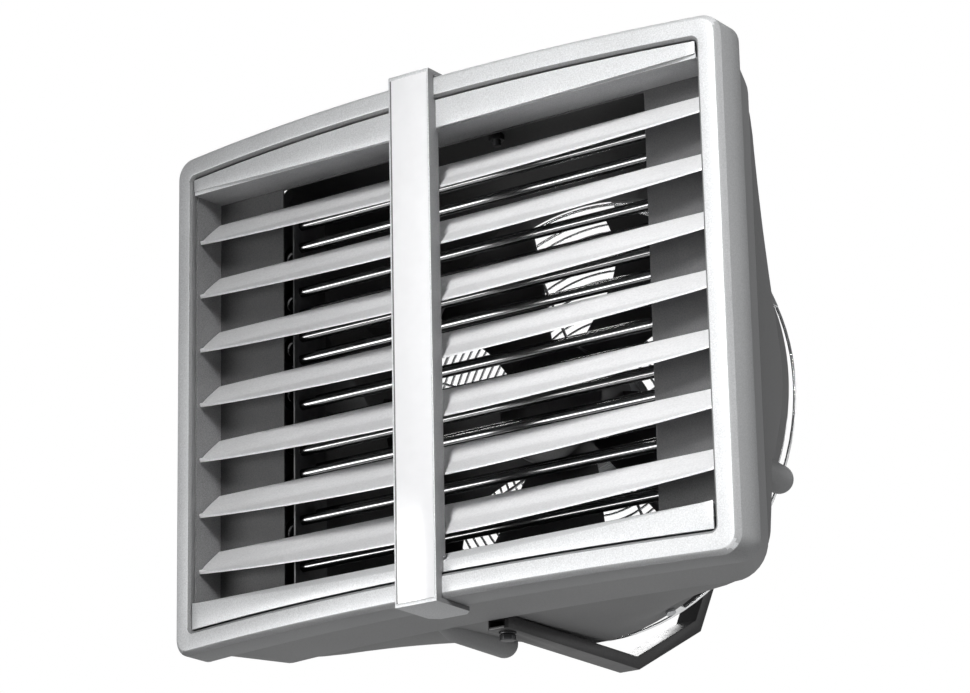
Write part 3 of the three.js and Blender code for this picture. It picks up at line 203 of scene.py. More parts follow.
def finish(name, light, dark, rough, metallic=0.0, fine=900.0, broad=9.0,
           cloud=0.3, relief=0.02, squash=(1, 1, 1), clear=0.0):
    """Paint, plastic or bare metal: speckled between two colours and clouded, with relief in mm."""
    made = bpy.data.materials.new(name)
    made.use_nodes = True
    nodes, links = made.node_tree.nodes, made.node_tree.links
    shader = nodes["Principled BSDF"]
    shader.inputs["Metallic"].default_value = metallic
    shader.inputs["Coat Weight"].default_value = clear
    shader.inputs["Coat Roughness"].default_value = 0.15
    place = nodes.new("ShaderNodeTexCoord")
    scale = nodes.new("ShaderNodeMapping")
    scale.inputs["Scale"].default_value = squash
    grain = nodes.new("ShaderNodeGroup")
    grain.node_tree = paint_grain
    grain.inputs["Fine"].default_value = fine
    grain.inputs["Broad"].default_value = broad
    links.new(place.outputs["Object"], scale.inputs["Vector"])
    links.new(scale.outputs["Vector"], grain.inputs["Vector"])
    blend = nodes.new("ShaderNodeMix")
    blend.data_type = "FLOAT"
    blend.inputs[0].default_value = cloud
    links.new(grain.outputs["Speckle"], blend.inputs[2])
    links.new(grain.outputs["Cloud"], blend.inputs[3])
    colour = nodes.new("ShaderNodeMix")
    colour.data_type = "RGBA"
    colour.inputs[6].default_value = (*dark, 1)
    colour.inputs[7].default_value = (*light, 1)
    links.new(blend.outputs[0], colour.inputs[0])
    links.new(colour.outputs[2], shader.inputs["Base Color"])
    matt = nodes.new("ShaderNodeMapRange")
    matt.inputs["To Min"].default_value, matt.inputs["To Max"].default_value = rough
    links.new(grain.outputs["Cloud"], matt.inputs["Value"])
    links.new(matt.outputs["Result"], shader.inputs["Roughness"])
    bump = nodes.new("ShaderNodeBump")
    bump.inputs["Distance"].default_value = relief / 1000
    links.new(grain.outputs["Speckle"], bump.inputs["Height"])
    links.new(bump.outputs["Normal"], shader.inputs["Normal"])
    return made


def outline(bm, marks):
    """A closed chain of vertices, one for each mark; returns its edges."""
    layer = bm.verts.layers.int.new("mark")
    chain = []
    for number in range(len(marks)):
        vert = bm.verts.new((number, 0, 0))
        vert[layer] = number
        chain.append(vert)
    return [bm.edges.new(pair) for pair in zip(chain, chain[1:] + chain[:1])]


def extruded(bm, edges):
    """Extrudes a loop of edges once; returns the new vertices and the new loop."""
    made = bmesh.ops.extrude_edge_only(bm, edges=edges)["geom"]
    verts = [item for item in made if isinstance(item, bmesh.types.BMVert)]
    ends = set(verts)
    loop = [
        item
        for item in made
        if isinstance(item, bmesh.types.BMEdge) and set(item.verts) <= ends
    ]
    return verts, loop


def sweep(bm, edges, marks, stations):
    """Lays the chain at the first station, then extrudes it to each of the others."""
    layer = bm.verts.layers.int["mark"]
    verts = {vert for edge in edges for vert in edge.verts}
    for number, station in enumerate(stations):
        if number:
            verts, edges = extruded(bm, edges)
        for vert in verts:
            vert.co = station(marks[vert[layer]])
    return edges


def frame_marks(up, arc):
    """Marks round a rounded rectangle: where its corner centre lies, and which way is out."""
    corners = ((1, -1), (1, 1), (-1, 1), (-1, -1))
    sides = ((1, 0), (0, 1), (-1, 0), (0, -1))
    marks = []
    for quarter, out in enumerate(sides):
        a, b = corners[quarter], corners[(quarter + 1) % 4]
        count = up if quarter % 2 == 0 else STEPS_ACROSS
        for step in range(1, count):
            t = step / count
            marks.append(((a[0] + (b[0] - a[0]) * t, a[1] + (b[1] - a[1]) * t), out))
        for step in range(arc + 1):
            angle = math.pi / 2 * (quarter + step / arc)
            marks.append((b, (math.cos(angle), math.sin(angle))))
    return marks


def rim(half, radius, y):
    """A station of a rounded rectangle, y behind the bowed front."""

    def lay(mark):
        (u, w), (out_x, out_z) = mark
        x = u * (half[0] - radius) + radius * out_x
        return (x, y + bow(x), w * (half[1] - radius) + radius * out_z)

    return lay


def seat(bm, name, material, body, node=None, bevel=0.0, sharp=40):
    """Bevels, turns outwards, scales to metres, and rides the finished piece on its body."""
    bmesh.ops.remove_doubles(bm, verts=bm.verts, dist=MERGED_WITHIN)
    bmesh.ops.dissolve_degenerate(bm, edges=bm.edges, dist=SLIVER)
    bmesh.ops.recalc_face_normals(bm, faces=bm.faces)
    if bevel:
        hard = [
            edge
            for edge in bm.edges
            if len(edge.link_faces) == 2 and edge.calc_face_angle(0) > CREASE
        ]
        bmesh.ops.bevel(bm, geom=hard, offset=bevel, offset_type="OFFSET", segments=2,
                        profile=0.5, affect="EDGES", clamp_overlap=True, material=-1)
    bmesh.ops.translate(bm, verts=bm.verts, vec=(0, -FRONT_TO_WALL, 0))
    bmesh.ops.scale(bm, verts=bm.verts, vec=(0.001, 0.001, 0.001))
    mesh = bpy.data.meshes.new(name)
    bm.to_mesh(mesh)
    bm.free()
    mesh.materials.append(material)
    mesh.shade_smooth()
    mesh.set_sharp_from_angle(angle=math.radians(sharp))
    piece = bpy.data.objects.new(name, mesh)
    bpy.context.scene.collection.objects.link(piece)
    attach(piece, body)
    if node:
        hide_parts(node)
    return piece


def repaint(piece, material, chosen):
    """Gives the faces chosen by their normal and their middle in metres another finish."""
    piece.data.materials.append(material)
    for face in piece.data.polygons:
        if chosen(face.normal, face.center):
            face.material_index = len(piece.data.materials) - 1


silver_paint = finish("silver_paint", (0.78, 0.79, 0.80), (0.56, 0.565, 0.57),
                      rough=(0.42, 0.55), metallic=0.15, broad=6, cloud=0.22, relief=0.03)
edge_painted_shade = finish("edge_painted_shade", (0.30, 0.302, 0.305), (0.20, 0.201, 0.203),
                    rough=(0.5, 0.62), relief=0.03)
flank_painted_shade = finish("flank_painted_shade", (0.47, 0.475, 0.48), (0.35, 0.354, 0.358),
                     rough=(0.5, 0.62), broad=6, cloud=0.22, relief=0.03)


def outer(inset, y):
    """The bezel's outside at y, drawn in all round."""
    return rim((BEZEL_HALF[0] - inset, BEZEL_HALF[1] - inset), BEZEL_RADIUS - inset, y)


def inner(outset, y):
    """The bezel's opening at y, drawn out all round."""
    return rim((OPENING_HALF[0] + outset, OPENING_HALF[1] + outset), OPENING_RADIUS + outset, y)


bezel_bm = bmesh.new()
bezel_marks = frame_marks(up=10, arc=8)
sweep(bezel_bm, outline(bezel_bm, bezel_marks), bezel_marks, [
    outer(0, SKIRT_DEPTH), outer(0, 20), outer(0, CHAMFER), outer(1.9, 2.5), outer(2.4, 1.7),
    outer(CHAMFER, 0), inner(10, 0), inner(EDGE_ROLL, 0), inner(0, EDGE_ROLL),
    inner(0, TURNED_IN), inner(SHEET, TURNED_IN), inner(EDGE_ROLL + SHEET, TURNED_IN - SHEET),
    outer(6, 6), outer(SHEET, 7.5), outer(SHEET, SKIRT_DEPTH), outer(0, SKIRT_DEPTH),
])
bezel = seat(bezel_bm, "bezel", silver_paint, "casing", "front_bezel", bevel=0.5)


def in_the_opening(normal, centre):
    """Whether a face belongs to the turned-in edge of the bezel, and not to its front."""
    inside_x = abs(centre.x) < (OPENING_HALF[0] + EDGE_REACH) / 1000
    inside_z = abs(centre.z) < (OPENING_HALF[1] + EDGE_REACH) / 1000
    return inside_x and inside_z and normal.y > EDGE_FRONT


def on_the_flank(normal, centre):
    """Whether a face belongs to the right flank or the underside, or to their chamfer."""
    right = centre.x > (BEZEL_HALF[0] - FLANK_REACH) / 1000
    under = centre.z < (FLANK_REACH - BEZEL_HALF[1]) / 1000
    return (right or under) and normal.y > FLANK_FRONT


# The turned-in edge of the opening is darkened as painted shade.
repaint(bezel, edge_painted_shade, in_the_opening)
# The right flank, the underside and their chamfers are darkened as painted shade.
repaint(bezel, flank_painted_shade, on_the_flank)

# ---- Header and sill -----------------------------------------------------------------
# Pressed panels above and below the louvres, set back from the bezel with a dark line
# round them. Their free edges are cut on sloping planes and turn back to the baffle.
PANEL_HALF = 278.2
PANEL_END = 217.9
PANEL_RECESS = 2.5
PANEL_SLOPE = math.tan(math.radians(30))
PANEL_ROLL = 3.2
STEP_BACK = 29.6
BAFFLE_FRONT = 66.7
BAFFLE_SHARE = 0.993
HEADER_EDGE = 191.0
HEADER_STEP = 206.6
HEADER_SHELF = 202.5
HEADER_TURN = 209.0
SILL_EDGE = -208.4
SILL_STEP = -194.5
SILL_STEP_BACK = 26.6
LEAST_STEP = 0.2
STATIONS_ACROSS = 60
LOOKS_DOWN = -0.4

lip_painted_shade = finish("lip_painted_shade", (0.40, 0.40, 0.405), (0.24, 0.24, 0.242),
                   rough=(0.5, 0.62), relief=0.03)


def sweep_across(bm, marks, half):
    """Sweeps a closed section from left to right; each mark gives a point from x."""
    first = outline(bm, marks)

    def station(x):
        return lambda mark: mark(x)

    shares = [2 * number / STATIONS_ACROSS - 1 for number in range(STATIONS_ACROSS + 1)]
    last = sweep(bm, first, marks, [station(half * share) for share in shares])
    bmesh.ops.edgeloop_fill(bm, edges=first)
    bmesh.ops.edgeloop_fill(bm, edges=last)


def panel_face(x):
    """How far behind the middle of the front a panel's face lies at x."""
    return PANEL_RECESS + bow(x)


def panel_edge(x, at_middle):
    """Height of a panel's free edge at x, from its height in the middle."""
    return at_middle + PANEL_SLOPE * bow(x)


def at_baffle(x, z):
    """The point where a panel meets the baffle, a little nearer the middle."""
    return (x * BAFFLE_SHARE, BAFFLE_FRONT, z)


header_bm = bmesh.new()
sweep_across(header_bm, [
    lambda x: (x, panel_face(x), PANEL_END),
    lambda x: (x, panel_face(x), panel_edge(x, HEADER_EDGE)),
    lambda x: (x, STEP_BACK, HEADER_STEP),
    lambda x: (x, STEP_BACK, HEADER_SHELF),
    lambda x: at_baffle(x, HEADER_SHELF),
    lambda x: at_baffle(x, HEADER_SHELF + SHEET),
    lambda x: (x, STEP_BACK + SHEET, HEADER_SHELF + SHEET),
    lambda x: (x, STEP_BACK + SHEET, HEADER_TURN),
    lambda x: (x, panel_face(x) + SHEET, panel_edge(x, HEADER_EDGE) + PANEL_ROLL),
    lambda x: (x, panel_face(x) + SHEET, PANEL_END),
], PANEL_HALF)
header = seat(header_bm, "header", silver_paint, "casing", "header_panel",
              bevel=0.35)
# The header's downward faces are darkened as painted shade.
repaint(header, lip_painted_shade, lambda normal, centre: normal.z < LOOKS_DOWN)

sill_bm = bmesh.new()
sweep_across(sill_bm, [
    lambda x: (x, panel_face(x), -PANEL_END),
    lambda x: (x, panel_face(x), panel_edge(x, SILL_EDGE)),
    lambda x: (x, max(SILL_STEP_BACK, panel_face(x) + LEAST_STEP), SILL_STEP),
    lambda x: at_baffle(x, SILL_STEP),
    lambda x: at_baffle(x, SILL_STEP - SHEET),
    lambda x: (x, STEP_BACK + SHEET, SILL_STEP - SHEET),
    lambda x: (x, panel_face(x) + SHEET, panel_edge(x, SILL_EDGE) - PANEL_ROLL),
    lambda x: (x, panel_face(x) + SHEET, -PANEL_END),
], PANEL_HALF)
seat(sill_bm, "sill", silver_paint, "casing", "sill_panel", bevel=0.35)

# ---- Duct walls ----------------------------------------------------------------------
# Flat painted sheets: the side plates with the holes for the louvre pins, and the baffle
# with the window for the coil. Their solids already have the real shape.
duct_paint = finish("duct_paint", (0.34, 0.34, 0.344), (0.18, 0.18, 0.182),
                    rough=(0.5, 0.65), relief=0.03)
baffle_paint = finish("baffle_paint", (0.105, 0.105, 0.107), (0.05, 0.05, 0.052),
                      rough=(0.5, 0.65), relief=0.03)


def dress(node, material):
    """A node whose flat solid is right keeps it and gets its finish."""
    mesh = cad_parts[node].data
    mesh.materials.clear()
    mesh.materials.append(material)


for side in ("left", "right"):
    dress(f"side_plate_{side}", duct_paint)
dress("coil_baffle", baffle_paint)

# ---- Louvres -------------------------------------------------------------------------
# Seven rolled blades in satin silver-white paint. Each front lip follows the bow, and each
# blade turns on a pin at either end.
LOUVRE_COUNT = 7
LOUVRE_PITCH = 53.3
TOP_LIP = 139.7
LIP_RECESS = 12.0
LOUVRE_SECTION = [(0, 0), (26.1, 17.7), (34, 26.1), (43, 34.6), (51.7, 42.1)]
LOUVRE_DEPTH, LOUVRE_HEIGHT = LOUVRE_SECTION[-1]
LOUVRE_NARROWEST = 1.0
LOUVRE_THICKNESS = 2.05
LOUVRE_END_GAP = 0.9
LOUVRE_STEPS = 22
WALL_HALF = (280.0, 276.0)
WALL_END = 67.0
PIVOT = (40.5, 19.2)
PIN_RADIUS = 1.5
PIN_LENGTH = 8.4
PIN_MIDDLE = 277.0
PIN_SIDES = 20

louvre_paint = finish("louvre_paint", (0.90, 0.90, 0.905), (0.72, 0.72, 0.73),
                      rough=(0.32, 0.42), metallic=0.1, fine=500, broad=5, cloud=0.35,
                      relief=0.015)


def louvre_rise(back):
    """Height of the blade above its lip, at a distance behind the lip's plane."""
    for (b0, h0), (b1, h1) in zip(LOUVRE_SECTION, LOUVRE_SECTION[1:]):
        if back <= b1:
            return h0 + (h1 - h0) * (back - b0) / (b1 - b0)
    return LOUVRE_HEIGHT


def wall_at(y):
    """Half width between the side plates at y."""
    share = (y - SAGITTA) / (WALL_END - SAGITTA)
    return WALL_HALF[0] + (WALL_HALF[1] - WALL_HALF[0]) * share


def louvre_mark(share, below):
    """A point of the blade's section as a function of x."""

    def at(x):
        start = min(bow(x), LOUVRE_DEPTH - LOUVRE_NARROWEST)
        back = start + (LOUVRE_DEPTH - start) * share
        y = LIP_RECESS + back
        return (x * (wall_at(y) - LOUVRE_END_GAP) / WALL_HALF[0], y, louvre_rise(back) - below)

    return at


louvre_shares = [number / LOUVRE_STEPS for number in range(LOUVRE_STEPS + 1)]
louvre_marks = [louvre_mark(share, 0) for share in louvre_shares]
louvre_marks += [louvre_mark(share, LOUVRE_THICKNESS) for share in reversed(louvre_shares)]
for number in range(LOUVRE_COUNT):
    louvre_bm = bmesh.new()
    sweep_across(louvre_bm, louvre_marks, WALL_HALF[0])
    for side in (-1, 1):
        across = Matrix.Rotation(math.pi / 2, 4, "Y")
        placed = Matrix.Translation((side * PIN_MIDDLE, *PIVOT)) @ across
        bmesh.ops.create_cone(louvre_bm, cap_ends=True, segments=PIN_SIDES, radius1=PIN_RADIUS,
                              radius2=PIN_RADIUS, depth=PIN_LENGTH, matrix=placed)
    lip = TOP_LIP - LOUVRE_PITCH * number
    bmesh.ops.translate(louvre_bm, verts=louvre_bm.verts, vec=(0, 0, lip))
    louvre = f"louvre_{number + 1}"
    seat(louvre_bm, f"blade_{number + 1}", louvre_paint, louvre, louvre,
         bevel=0.4, sharp=50)

# ---- Centre strip --------------------------------------------------------------------
# A pressed channel down the middle of the front, with sides darkened as painted shade and
# feet that hook over the bezel. A white gloss inlay, with a painted shadow line down its left
# edge, fills its face inside a thin silver border.
SAME_POINT = 0.01
SAME_PLANE = math.radians(1.0)
LOOKS_SIDEWAYS = 0.8
INLAY_SHADOW_EDGE = -0.0188

strip_side_painted_shade = finish("strip_side_painted_shade", (0.26, 0.262, 0.265), (0.20, 0.201, 0.203),
                    rough=(0.45, 0.55))
white_gloss = finish("white_gloss", (0.93, 0.93, 0.94), (0.90, 0.90, 0.91),
                     rough=(0.12, 0.2), fine=60, relief=0.0, clear=0.4)
inlay_painted_shadow = finish("inlay_painted_shadow", (0.16, 0.16, 0.162), (0.12, 0.12, 0.122),
                    rough=(0.4, 0.5), relief=0.01)


def refined(node, name, material, bevel, body):
    """A copy of a node's solid with merged faces and broken edges stands for it."""
    bm = bmesh.new()
    bm.from_mesh(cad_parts[node].data)
    bmesh.ops.scale(bm, verts=bm.verts, vec=(1000, 1000, 1000))
    bmesh.ops.translate(bm, verts=bm.verts, vec=(0, FRONT_TO_WALL, 0))
    bmesh.ops.remove_doubles(bm, verts=bm.verts, dist=SAME_POINT)
    bmesh.ops.dissolve_limit(bm, angle_limit=SAME_PLANE, verts=bm.verts, edges=bm.edges)
    return seat(bm, name, material, body, node, bevel=bevel)


strip = refined("centre_strip", "strip", silver_paint, 0.5, "casing")
# The strip's side faces are darkened as painted shade.
repaint(strip, strip_side_painted_shade, lambda normal, centre: abs(normal.x) > LOOKS_SIDEWAYS)
inlay = refined("strip_inlay", "inlay", white_gloss, 0.1, "casing")
# A painted shadow line runs down the inlay's left edge, where the recess wall shades it.
cut_bm = bmesh.new()
cut_bm.from_mesh(inlay.data)
bmesh.ops.bisect_plane(cut_bm, geom=cut_bm.verts[:] + cut_bm.edges[:] + cut_bm.faces[:],
                       plane_co=(INLAY_SHADOW_EDGE, 0, 0), plane_no=(1, 0, 0))
cut_bm.to_mesh(inlay.data)
cut_bm.free()
repaint(inlay, inlay_painted_shadow, lambda normal, centre: centre.x < INLAY_SHADOW_EDGE)

# ---- Rear shell ----------------------------------------------------------------------
# Moulded grey plastic behind the bezel. A flange fills the bezel's skirt, the sides close
# in towards the back, and the rear edge follows the bow.
SHELL_HALF = (297.0, 237.0)
SHELL_REAR_HALF = 267.0
SHELL_RADIUS = 33.0
SHELL_FRONT = 33.0
SHELL_FLANGE = 42.0
SHELL_BEND = 65.0
SHELL_REAR = 110.0
SHELL_OVERRUN = 4.0
EDGE_BREAK = 0.8

grey_shell = finish("grey_shell", (0.44, 0.442, 0.445), (0.36, 0.361, 0.363),
                    rough=(0.55, 0.68), broad=7, cloud=0.2, relief=0.04)


def shell_half(y, inset):
    """Half width and half height of the shell at y."""
    closing = SHELL_REAR + bow(SHELL_REAR_HALF) + SHELL_OVERRUN - SHELL_BEND
    share = max(0.0, (y - SHELL_BEND) / closing)
    half_width = SHELL_HALF[0] + (SHELL_REAR_HALF - SHELL_HALF[0]) * share
    return (half_width - inset, SHELL_HALF[1] - inset)


def shell_station(y, inset, follow=1.0):
    """The shell's outline at y, narrowed where its sides have closed in."""

    def lay(mark):
        (u, w), (out_x, out_z) = mark
        rough_x = u * (SHELL_REAR_HALF - SHELL_RADIUS) + SHELL_RADIUS * out_x
        here = y + follow * bow(rough_x)
        half = shell_half(here, inset)
        radius = SHELL_RADIUS - inset
        x = u * (half[0] - radius) + radius * out_x
        return (x, here, w * (half[1] - radius) + radius * out_z)

    return lay


shell_bm = bmesh.new()
sweep(shell_bm, outline(shell_bm, bezel_marks), bezel_marks, [
    shell_station(SHELL_FRONT, 0), shell_station(SHELL_FLANGE, 0), shell_station(50, 0, 0.6),
    shell_station(SHELL_BEND, 0, 0.0), shell_station(85, 0, 0.4),
    shell_station(SHELL_REAR - EDGE_BREAK, 0), shell_station(SHELL_REAR, EDGE_BREAK),
    shell_station(SHELL_REAR, SHEET), shell_station(90, SHEET, 0.4),
    shell_station(SHELL_BEND, SHEET, 0.0), shell_station(SHELL_FLANGE, SHEET),
    shell_station(SHELL_FRONT, SHEET), shell_station(SHELL_FRONT, 0),
])
seat(shell_bm, "shell", grey_shell, "casing", "rear_shell", sharp=35)

# ---- Hood ----------------------------------------------------------------------------
# The moulded hood carries the fan. Its grey is darker than the shell's as painted shade, and
# its inside faces are near black painted shade. It closes from the shell's outline to a round
# rim, and its front flange sits inside the shell.
HOOD_INSET = 5.5
HOOD_FRONT = 106.0
HOOD_START = 118.0
HOOD_FULLNESS = 1.3
HOOD_STEPS = 8
FAN_AXIS = -12.5
RIM_RADIUS = 214.8
RIM_Y = 277.0
RIM_CORNERS = 3
RIM_SIDES = math.radians(30)
COLLAR = 12.0
FLANGE_GAP = 0.3
FLANGE_LAP = 0.6

# The hood's grey is darker than the shell's as painted shade.
hood_grey_painted_shade = finish("hood_grey_painted_shade", (0.32, 0.32, 0.322), (0.25, 0.25, 0.251),
                   rough=(0.55, 0.68), broad=7, cloud=0.2, relief=0.04)
hood_inside_painted_shade = finish("hood_inside_painted_shade", (0.07, 0.07, 0.071), (0.04, 0.04, 0.041),
                     rough=(0.5, 0.62))


def on_the_rim(u, w, out_x, out_z):
    """The angle on the rim that a mark is drawn to: a corner's arc becomes a third of itself."""
    facing = math.atan2(out_z, out_x)
    if abs(u) == abs(w) == 1:
        corner = math.atan2(w, u)
        turned = (facing - corner + math.pi) % (2 * math.pi) - math.pi
        return corner + turned / RIM_CORNERS
    return facing + RIM_SIDES * (w * out_x - u * out_z)


def hood_station(share, inset=0.0, start=HOOD_START, push=0.0):
    """Between the rounded rectangle at the shell (0) and the circle of the rim (1)."""

    def lay(mark):
        (u, w), (out_x, out_z) = mark
        half = (SHELL_REAR_HALF - HOOD_INSET - inset, SHELL_HALF[1] - HOOD_INSET - inset)
        radius = SHELL_RADIUS - inset
        x0 = u * (half[0] - radius) + radius * out_x
        z0 = w * (half[1] - radius) + radius * out_z
        ring = RIM_RADIUS - inset
        turned = on_the_rim(u, w, out_x, out_z)
        x1, z1 = ring * math.cos(turned), FAN_AXIS + ring * math.sin(turned)
        y0, y1 = start + bow(x0), RIM_Y - COLLAR
        drawn = share ** HOOD_FULLNESS
        return (x0 + (x1 - x0) * drawn, y0 + (y1 - y0) * share + push, z0 + (z1 - z0) * drawn)

    return lay


hood_bm = bmesh.new()
hood_marks = frame_marks(up=24, arc=14)
hood_shares = [number / HOOD_STEPS for number in range(HOOD_STEPS + 1)]
sweep(hood_bm, outline(hood_bm, hood_marks), hood_marks, [
    hood_station(0, start=HOOD_FRONT),
    *[hood_station(share) for share in hood_shares],
    hood_station(1, push=COLLAR - EDGE_BREAK),
    hood_station(1, EDGE_BREAK, push=COLLAR),
    hood_station(1, SHEET + 0.2, push=COLLAR),
    hood_station(1, SHEET + 0.4, push=COLLAR - EDGE_BREAK),
    *[hood_station(share, SHEET) for share in reversed(hood_shares)],
    hood_station(0, SHEET, start=HOOD_FRONT),
    hood_station(0, start=HOOD_FRONT),
])
hood = seat(hood_bm, "hood", hood_grey_painted_shade, "casing", "fan_hood", sharp=24)


def faces_the_axis(normal, centre):
    """Whether a face looks inwards, to the fan's axis."""
    return normal.x * centre.x + normal.z * (centre.z - FAN_AXIS / 1000) < 0


# The faces inside the hood are made near black as painted shade.
repaint(hood, hood_inside_painted_shade, faces_the_axis)

flange_bm = bmesh.new()
sweep(flange_bm, outline(flange_bm, bezel_marks), bezel_marks, [
    shell_station(HOOD_FRONT, SHEET + FLANGE_GAP),
    shell_station(HOOD_FRONT + SHEET, SHEET + FLANGE_GAP),
    shell_station(HOOD_FRONT + SHEET, HOOD_INSET + FLANGE_LAP),
    shell_station(HOOD_FRONT, HOOD_INSET + FLANGE_LAP),
    shell_station(HOOD_FRONT, SHEET + FLANGE_GAP),
])
seat(flange_bm, "hood_flange", grey_shell, "casing")

# ---- Stubs ---------------------------------------------------------------------------
# Two capped water connections with round ends, in the shell's grey plastic. One stands on
# the right flank of the hood, and the other comes out of its underside.
STUB_RADIUS = 13.0
STUB_ROOT = STUB_RADIUS / 3
STUB_SIDES = 48
STUB_SWELL = 30.0
SIDE_STUB = ((238, 160, -125), (232, 220, -125))
LOWER_STUB = ((-66, 112.5, -227.6), (-66, 220, -228.7))
DOME_STEPS = 13
DOME_TIP = 0.001


def domed_stub(name, ends, node):
    """A round connection that swells from its root and ends in a dome."""
    bm = bmesh.new()
    start, stop = (Vector(end) for end in ends)
    length = (stop - start).length
    bmesh.ops.create_circle(bm, segments=STUB_SIDES, radius=STUB_ROOT)
    edges = list(bm.edges)
    for number in range(DOME_STEPS + 2):
        verts, edges = extruded(bm, edges)
        angle = math.pi / 2 * max(0, number - 1) / DOME_STEPS
        height = STUB_SWELL if number == 0 else length + STUB_RADIUS * math.sin(angle)
        for vert in verts:
            across = vert.co.xy.normalized() * max(DOME_TIP, STUB_RADIUS * math.cos(angle))
            vert.co = (across.x, across.y, height)
    bmesh.ops.holes_fill(bm, edges=bm.edges)
    turn = Vector((0, 0, 1)).rotation_difference(stop - start).to_matrix().to_4x4()
    bmesh.ops.transform(bm, matrix=Matrix.Translation(start) @ turn, verts=bm.verts)
    seat(bm, name, grey_shell, "casing", node)


domed_stub("stub_side", SIDE_STUB, "side_stub")
domed_stub("stub_lower", LOWER_STUB, "lower_stub")

# ---- Coil ----------------------------------------------------------------------------
# Two staggered rows of bare drawn tube, each one serpentine with return bends, between
# folded end plates of galvanised steel, darkened near black as painted shade.
TUBE_RADIUS = 4.8
TUBE_PITCH = 22.05
TUBE_COUNT = 16
TUBE_TOP = 168.0
TUBE_ENDS = {1: 209.5, -1: -197.5}
TUBE_LENGTH = TUBE_ENDS[1] - TUBE_ENDS[-1]
TUBE_SIDES = 16
BEND_STEPS = 10
COIL_ROWS = ((82.0, 0.0), (106.0, TUBE_PITCH / 2))

drawn_tube = finish("drawn_tube", (0.130, 0.130, 0.131), (0.090, 0.090, 0.091),
                    rough=(0.16, 0.22), metallic=1.0, fine=260, broad=30, cloud=0.5,
                    relief=0.002, squash=(0.05, 1, 1))
plate_steel_painted_shade = finish("plate_steel_painted_shade", (0.11, 0.11, 0.112), (0.07, 0.07, 0.072),
                     rough=(0.45, 0.6), metallic=0.4, fine=120, broad=45, cloud=0.6,
                     relief=0.01)

for number, (y, drop) in enumerate(COIL_ROWS):
    top = TUBE_TOP - drop
    coil_bm = bmesh.new()
    across = Matrix.Rotation(math.pi / 2, 4, "Y")
    placed = Matrix.Translation((TUBE_ENDS[-1], y, top)) @ across
    bmesh.ops.create_circle(coil_bm, segments=TUBE_SIDES, radius=TUBE_RADIUS, matrix=placed,
                            cap_ends=False)
    edges = list(coil_bm.edges)
    for tube in range(TUBE_COUNT):
        way = 1 if tube % 2 == 0 else -1
        verts, edges = extruded(coil_bm, edges)
        bmesh.ops.translate(coil_bm, verts=verts, vec=(way * TUBE_LENGTH, 0, 0))
        if tube + 1 < TUBE_COUNT:
            bend = (TUBE_ENDS[way], y, top - TUBE_PITCH * (tube + 0.5))
            made = bmesh.ops.spin(coil_bm, geom=edges + verts, cent=bend, axis=(0, 1, 0),
                                  angle=way * math.pi, steps=BEND_STEPS)["geom_last"]
            edges = [item for item in made if isinstance(item, bmesh.types.BMEdge)]
    bmesh.ops.holes_fill(coil_bm, edges=coil_bm.edges)
    seat(coil_bm, f"coil_row_{number + 1}", drawn_tube, "casing",
         f"coil_tubes_{number + 1}")
# The end plates' steel is darkened near black as painted shade.
for side in ("left", "right"):
    refined(f"coil_end_plate_{side}", f"end_plate_{side}", plate_steel_painted_shade, 0.2, "casing")

# ---- Fan -----------------------------------------------------------------------------
# An external-rotor axial fan: a domed hub with five cambered sickle blades in black
# plastic, and a finned motor that hangs in the middle of the guard.
AT_AXIS = 0.01
HUB_PROFILE = [
    (AT_AXIS, 201.2), (20, 201.6), (33, 203.4), (36, 205.2), (52, 206), (56.5, 208.5), (58, 213),
    (58, 259), (57, 261), (52, 261), (52, 219), (6.3, 219), (AT_AXIS, 219),
]
TURN_STEPS = 96
FAN_MIDDLE = 233.0
BLADE_COUNT = 5
BLADE_ROOT = 58.6
BLADE_TIP = 196.0
BLADE_WALL = 2.2
BLADE_HALF_ANGLE = 28.0
BLADE_WAIST = 5.5
BLADE_LEAD = 37.5
BLADE_SICKLE = 6.0
BLADE_PITCH = 30.0
PITCH_FALL = 8.0
PITCH_SHARE = 0.62
BLADE_CAMBER = 5.0
CAMBER_FALL = 0.4
MOTOR_FRONT = [(AT_AXIS, 221), (6, 221), (6, 263.5), (46, 263.5), (49, 265)]
MOTOR_BACK = [(50, 295.2), (48, 296.1), (AT_AXIS, 296.1)]
FIN_COUNT = 7
FIN_START = 267
FIN_PITCH = 4
FIN_PROFILE = [(50, 0), (50, 1.8), (47, 2.2), (47, 3.8)]

black_plastic = finish("black_plastic", (0.035, 0.035, 0.037), (0.018, 0.018, 0.02),
                       rough=(0.35, 0.5), fine=700)
galvanised = finish("galvanised", (0.55, 0.56, 0.57), (0.38, 0.39, 0.40),
                    rough=(0.35, 0.5), metallic=0.9, fine=120, broad=45, cloud=0.6,
                    relief=0.01)


def turned_part(bm, profile):
    """Spins a profile of (radius, y) about the fan's axis."""
    chain = [bm.verts.new((radius, y, FAN_AXIS)) for radius, y in profile]
    edges = [bm.edges.new(pair) for pair in zip(chain, chain[1:])]
    bmesh.ops.spin(bm, geom=chain + edges, cent=(0, 0, FAN_AXIS), axis=(0, 1, 0),
                   angle=2 * math.pi, steps=TURN_STEPS, use_merge=True)


def on_the_blade(chord, span):
    """A point of the first blade: chord runs from -1 to 1 across it, and span from 0 to 1."""
    bulge = math.sin(math.pi * span)
    radius = BLADE_ROOT + (BLADE_TIP - BLADE_ROOT) * span
    half = math.radians(BLADE_HALF_ANGLE - BLADE_WAIST * bulge)
    angle = math.radians(BLADE_LEAD + BLADE_SICKLE * bulge) + half * chord
    pitch = math.radians(BLADE_PITCH - PITCH_FALL * span)
    slant = math.tan(pitch) * radius * half * chord * PITCH_SHARE
    camber = BLADE_CAMBER * (1 - chord * chord) * (1 - CAMBER_FALL * span)
    y = FAN_MIDDLE - slant + camber
    return (radius * math.sin(angle), y, FAN_AXIS + radius * math.cos(angle))


hub_bm = bmesh.new()
turned_part(hub_bm, HUB_PROFILE)
seat(hub_bm, "hub", black_plastic, "fan", "fan_hub", sharp=35)

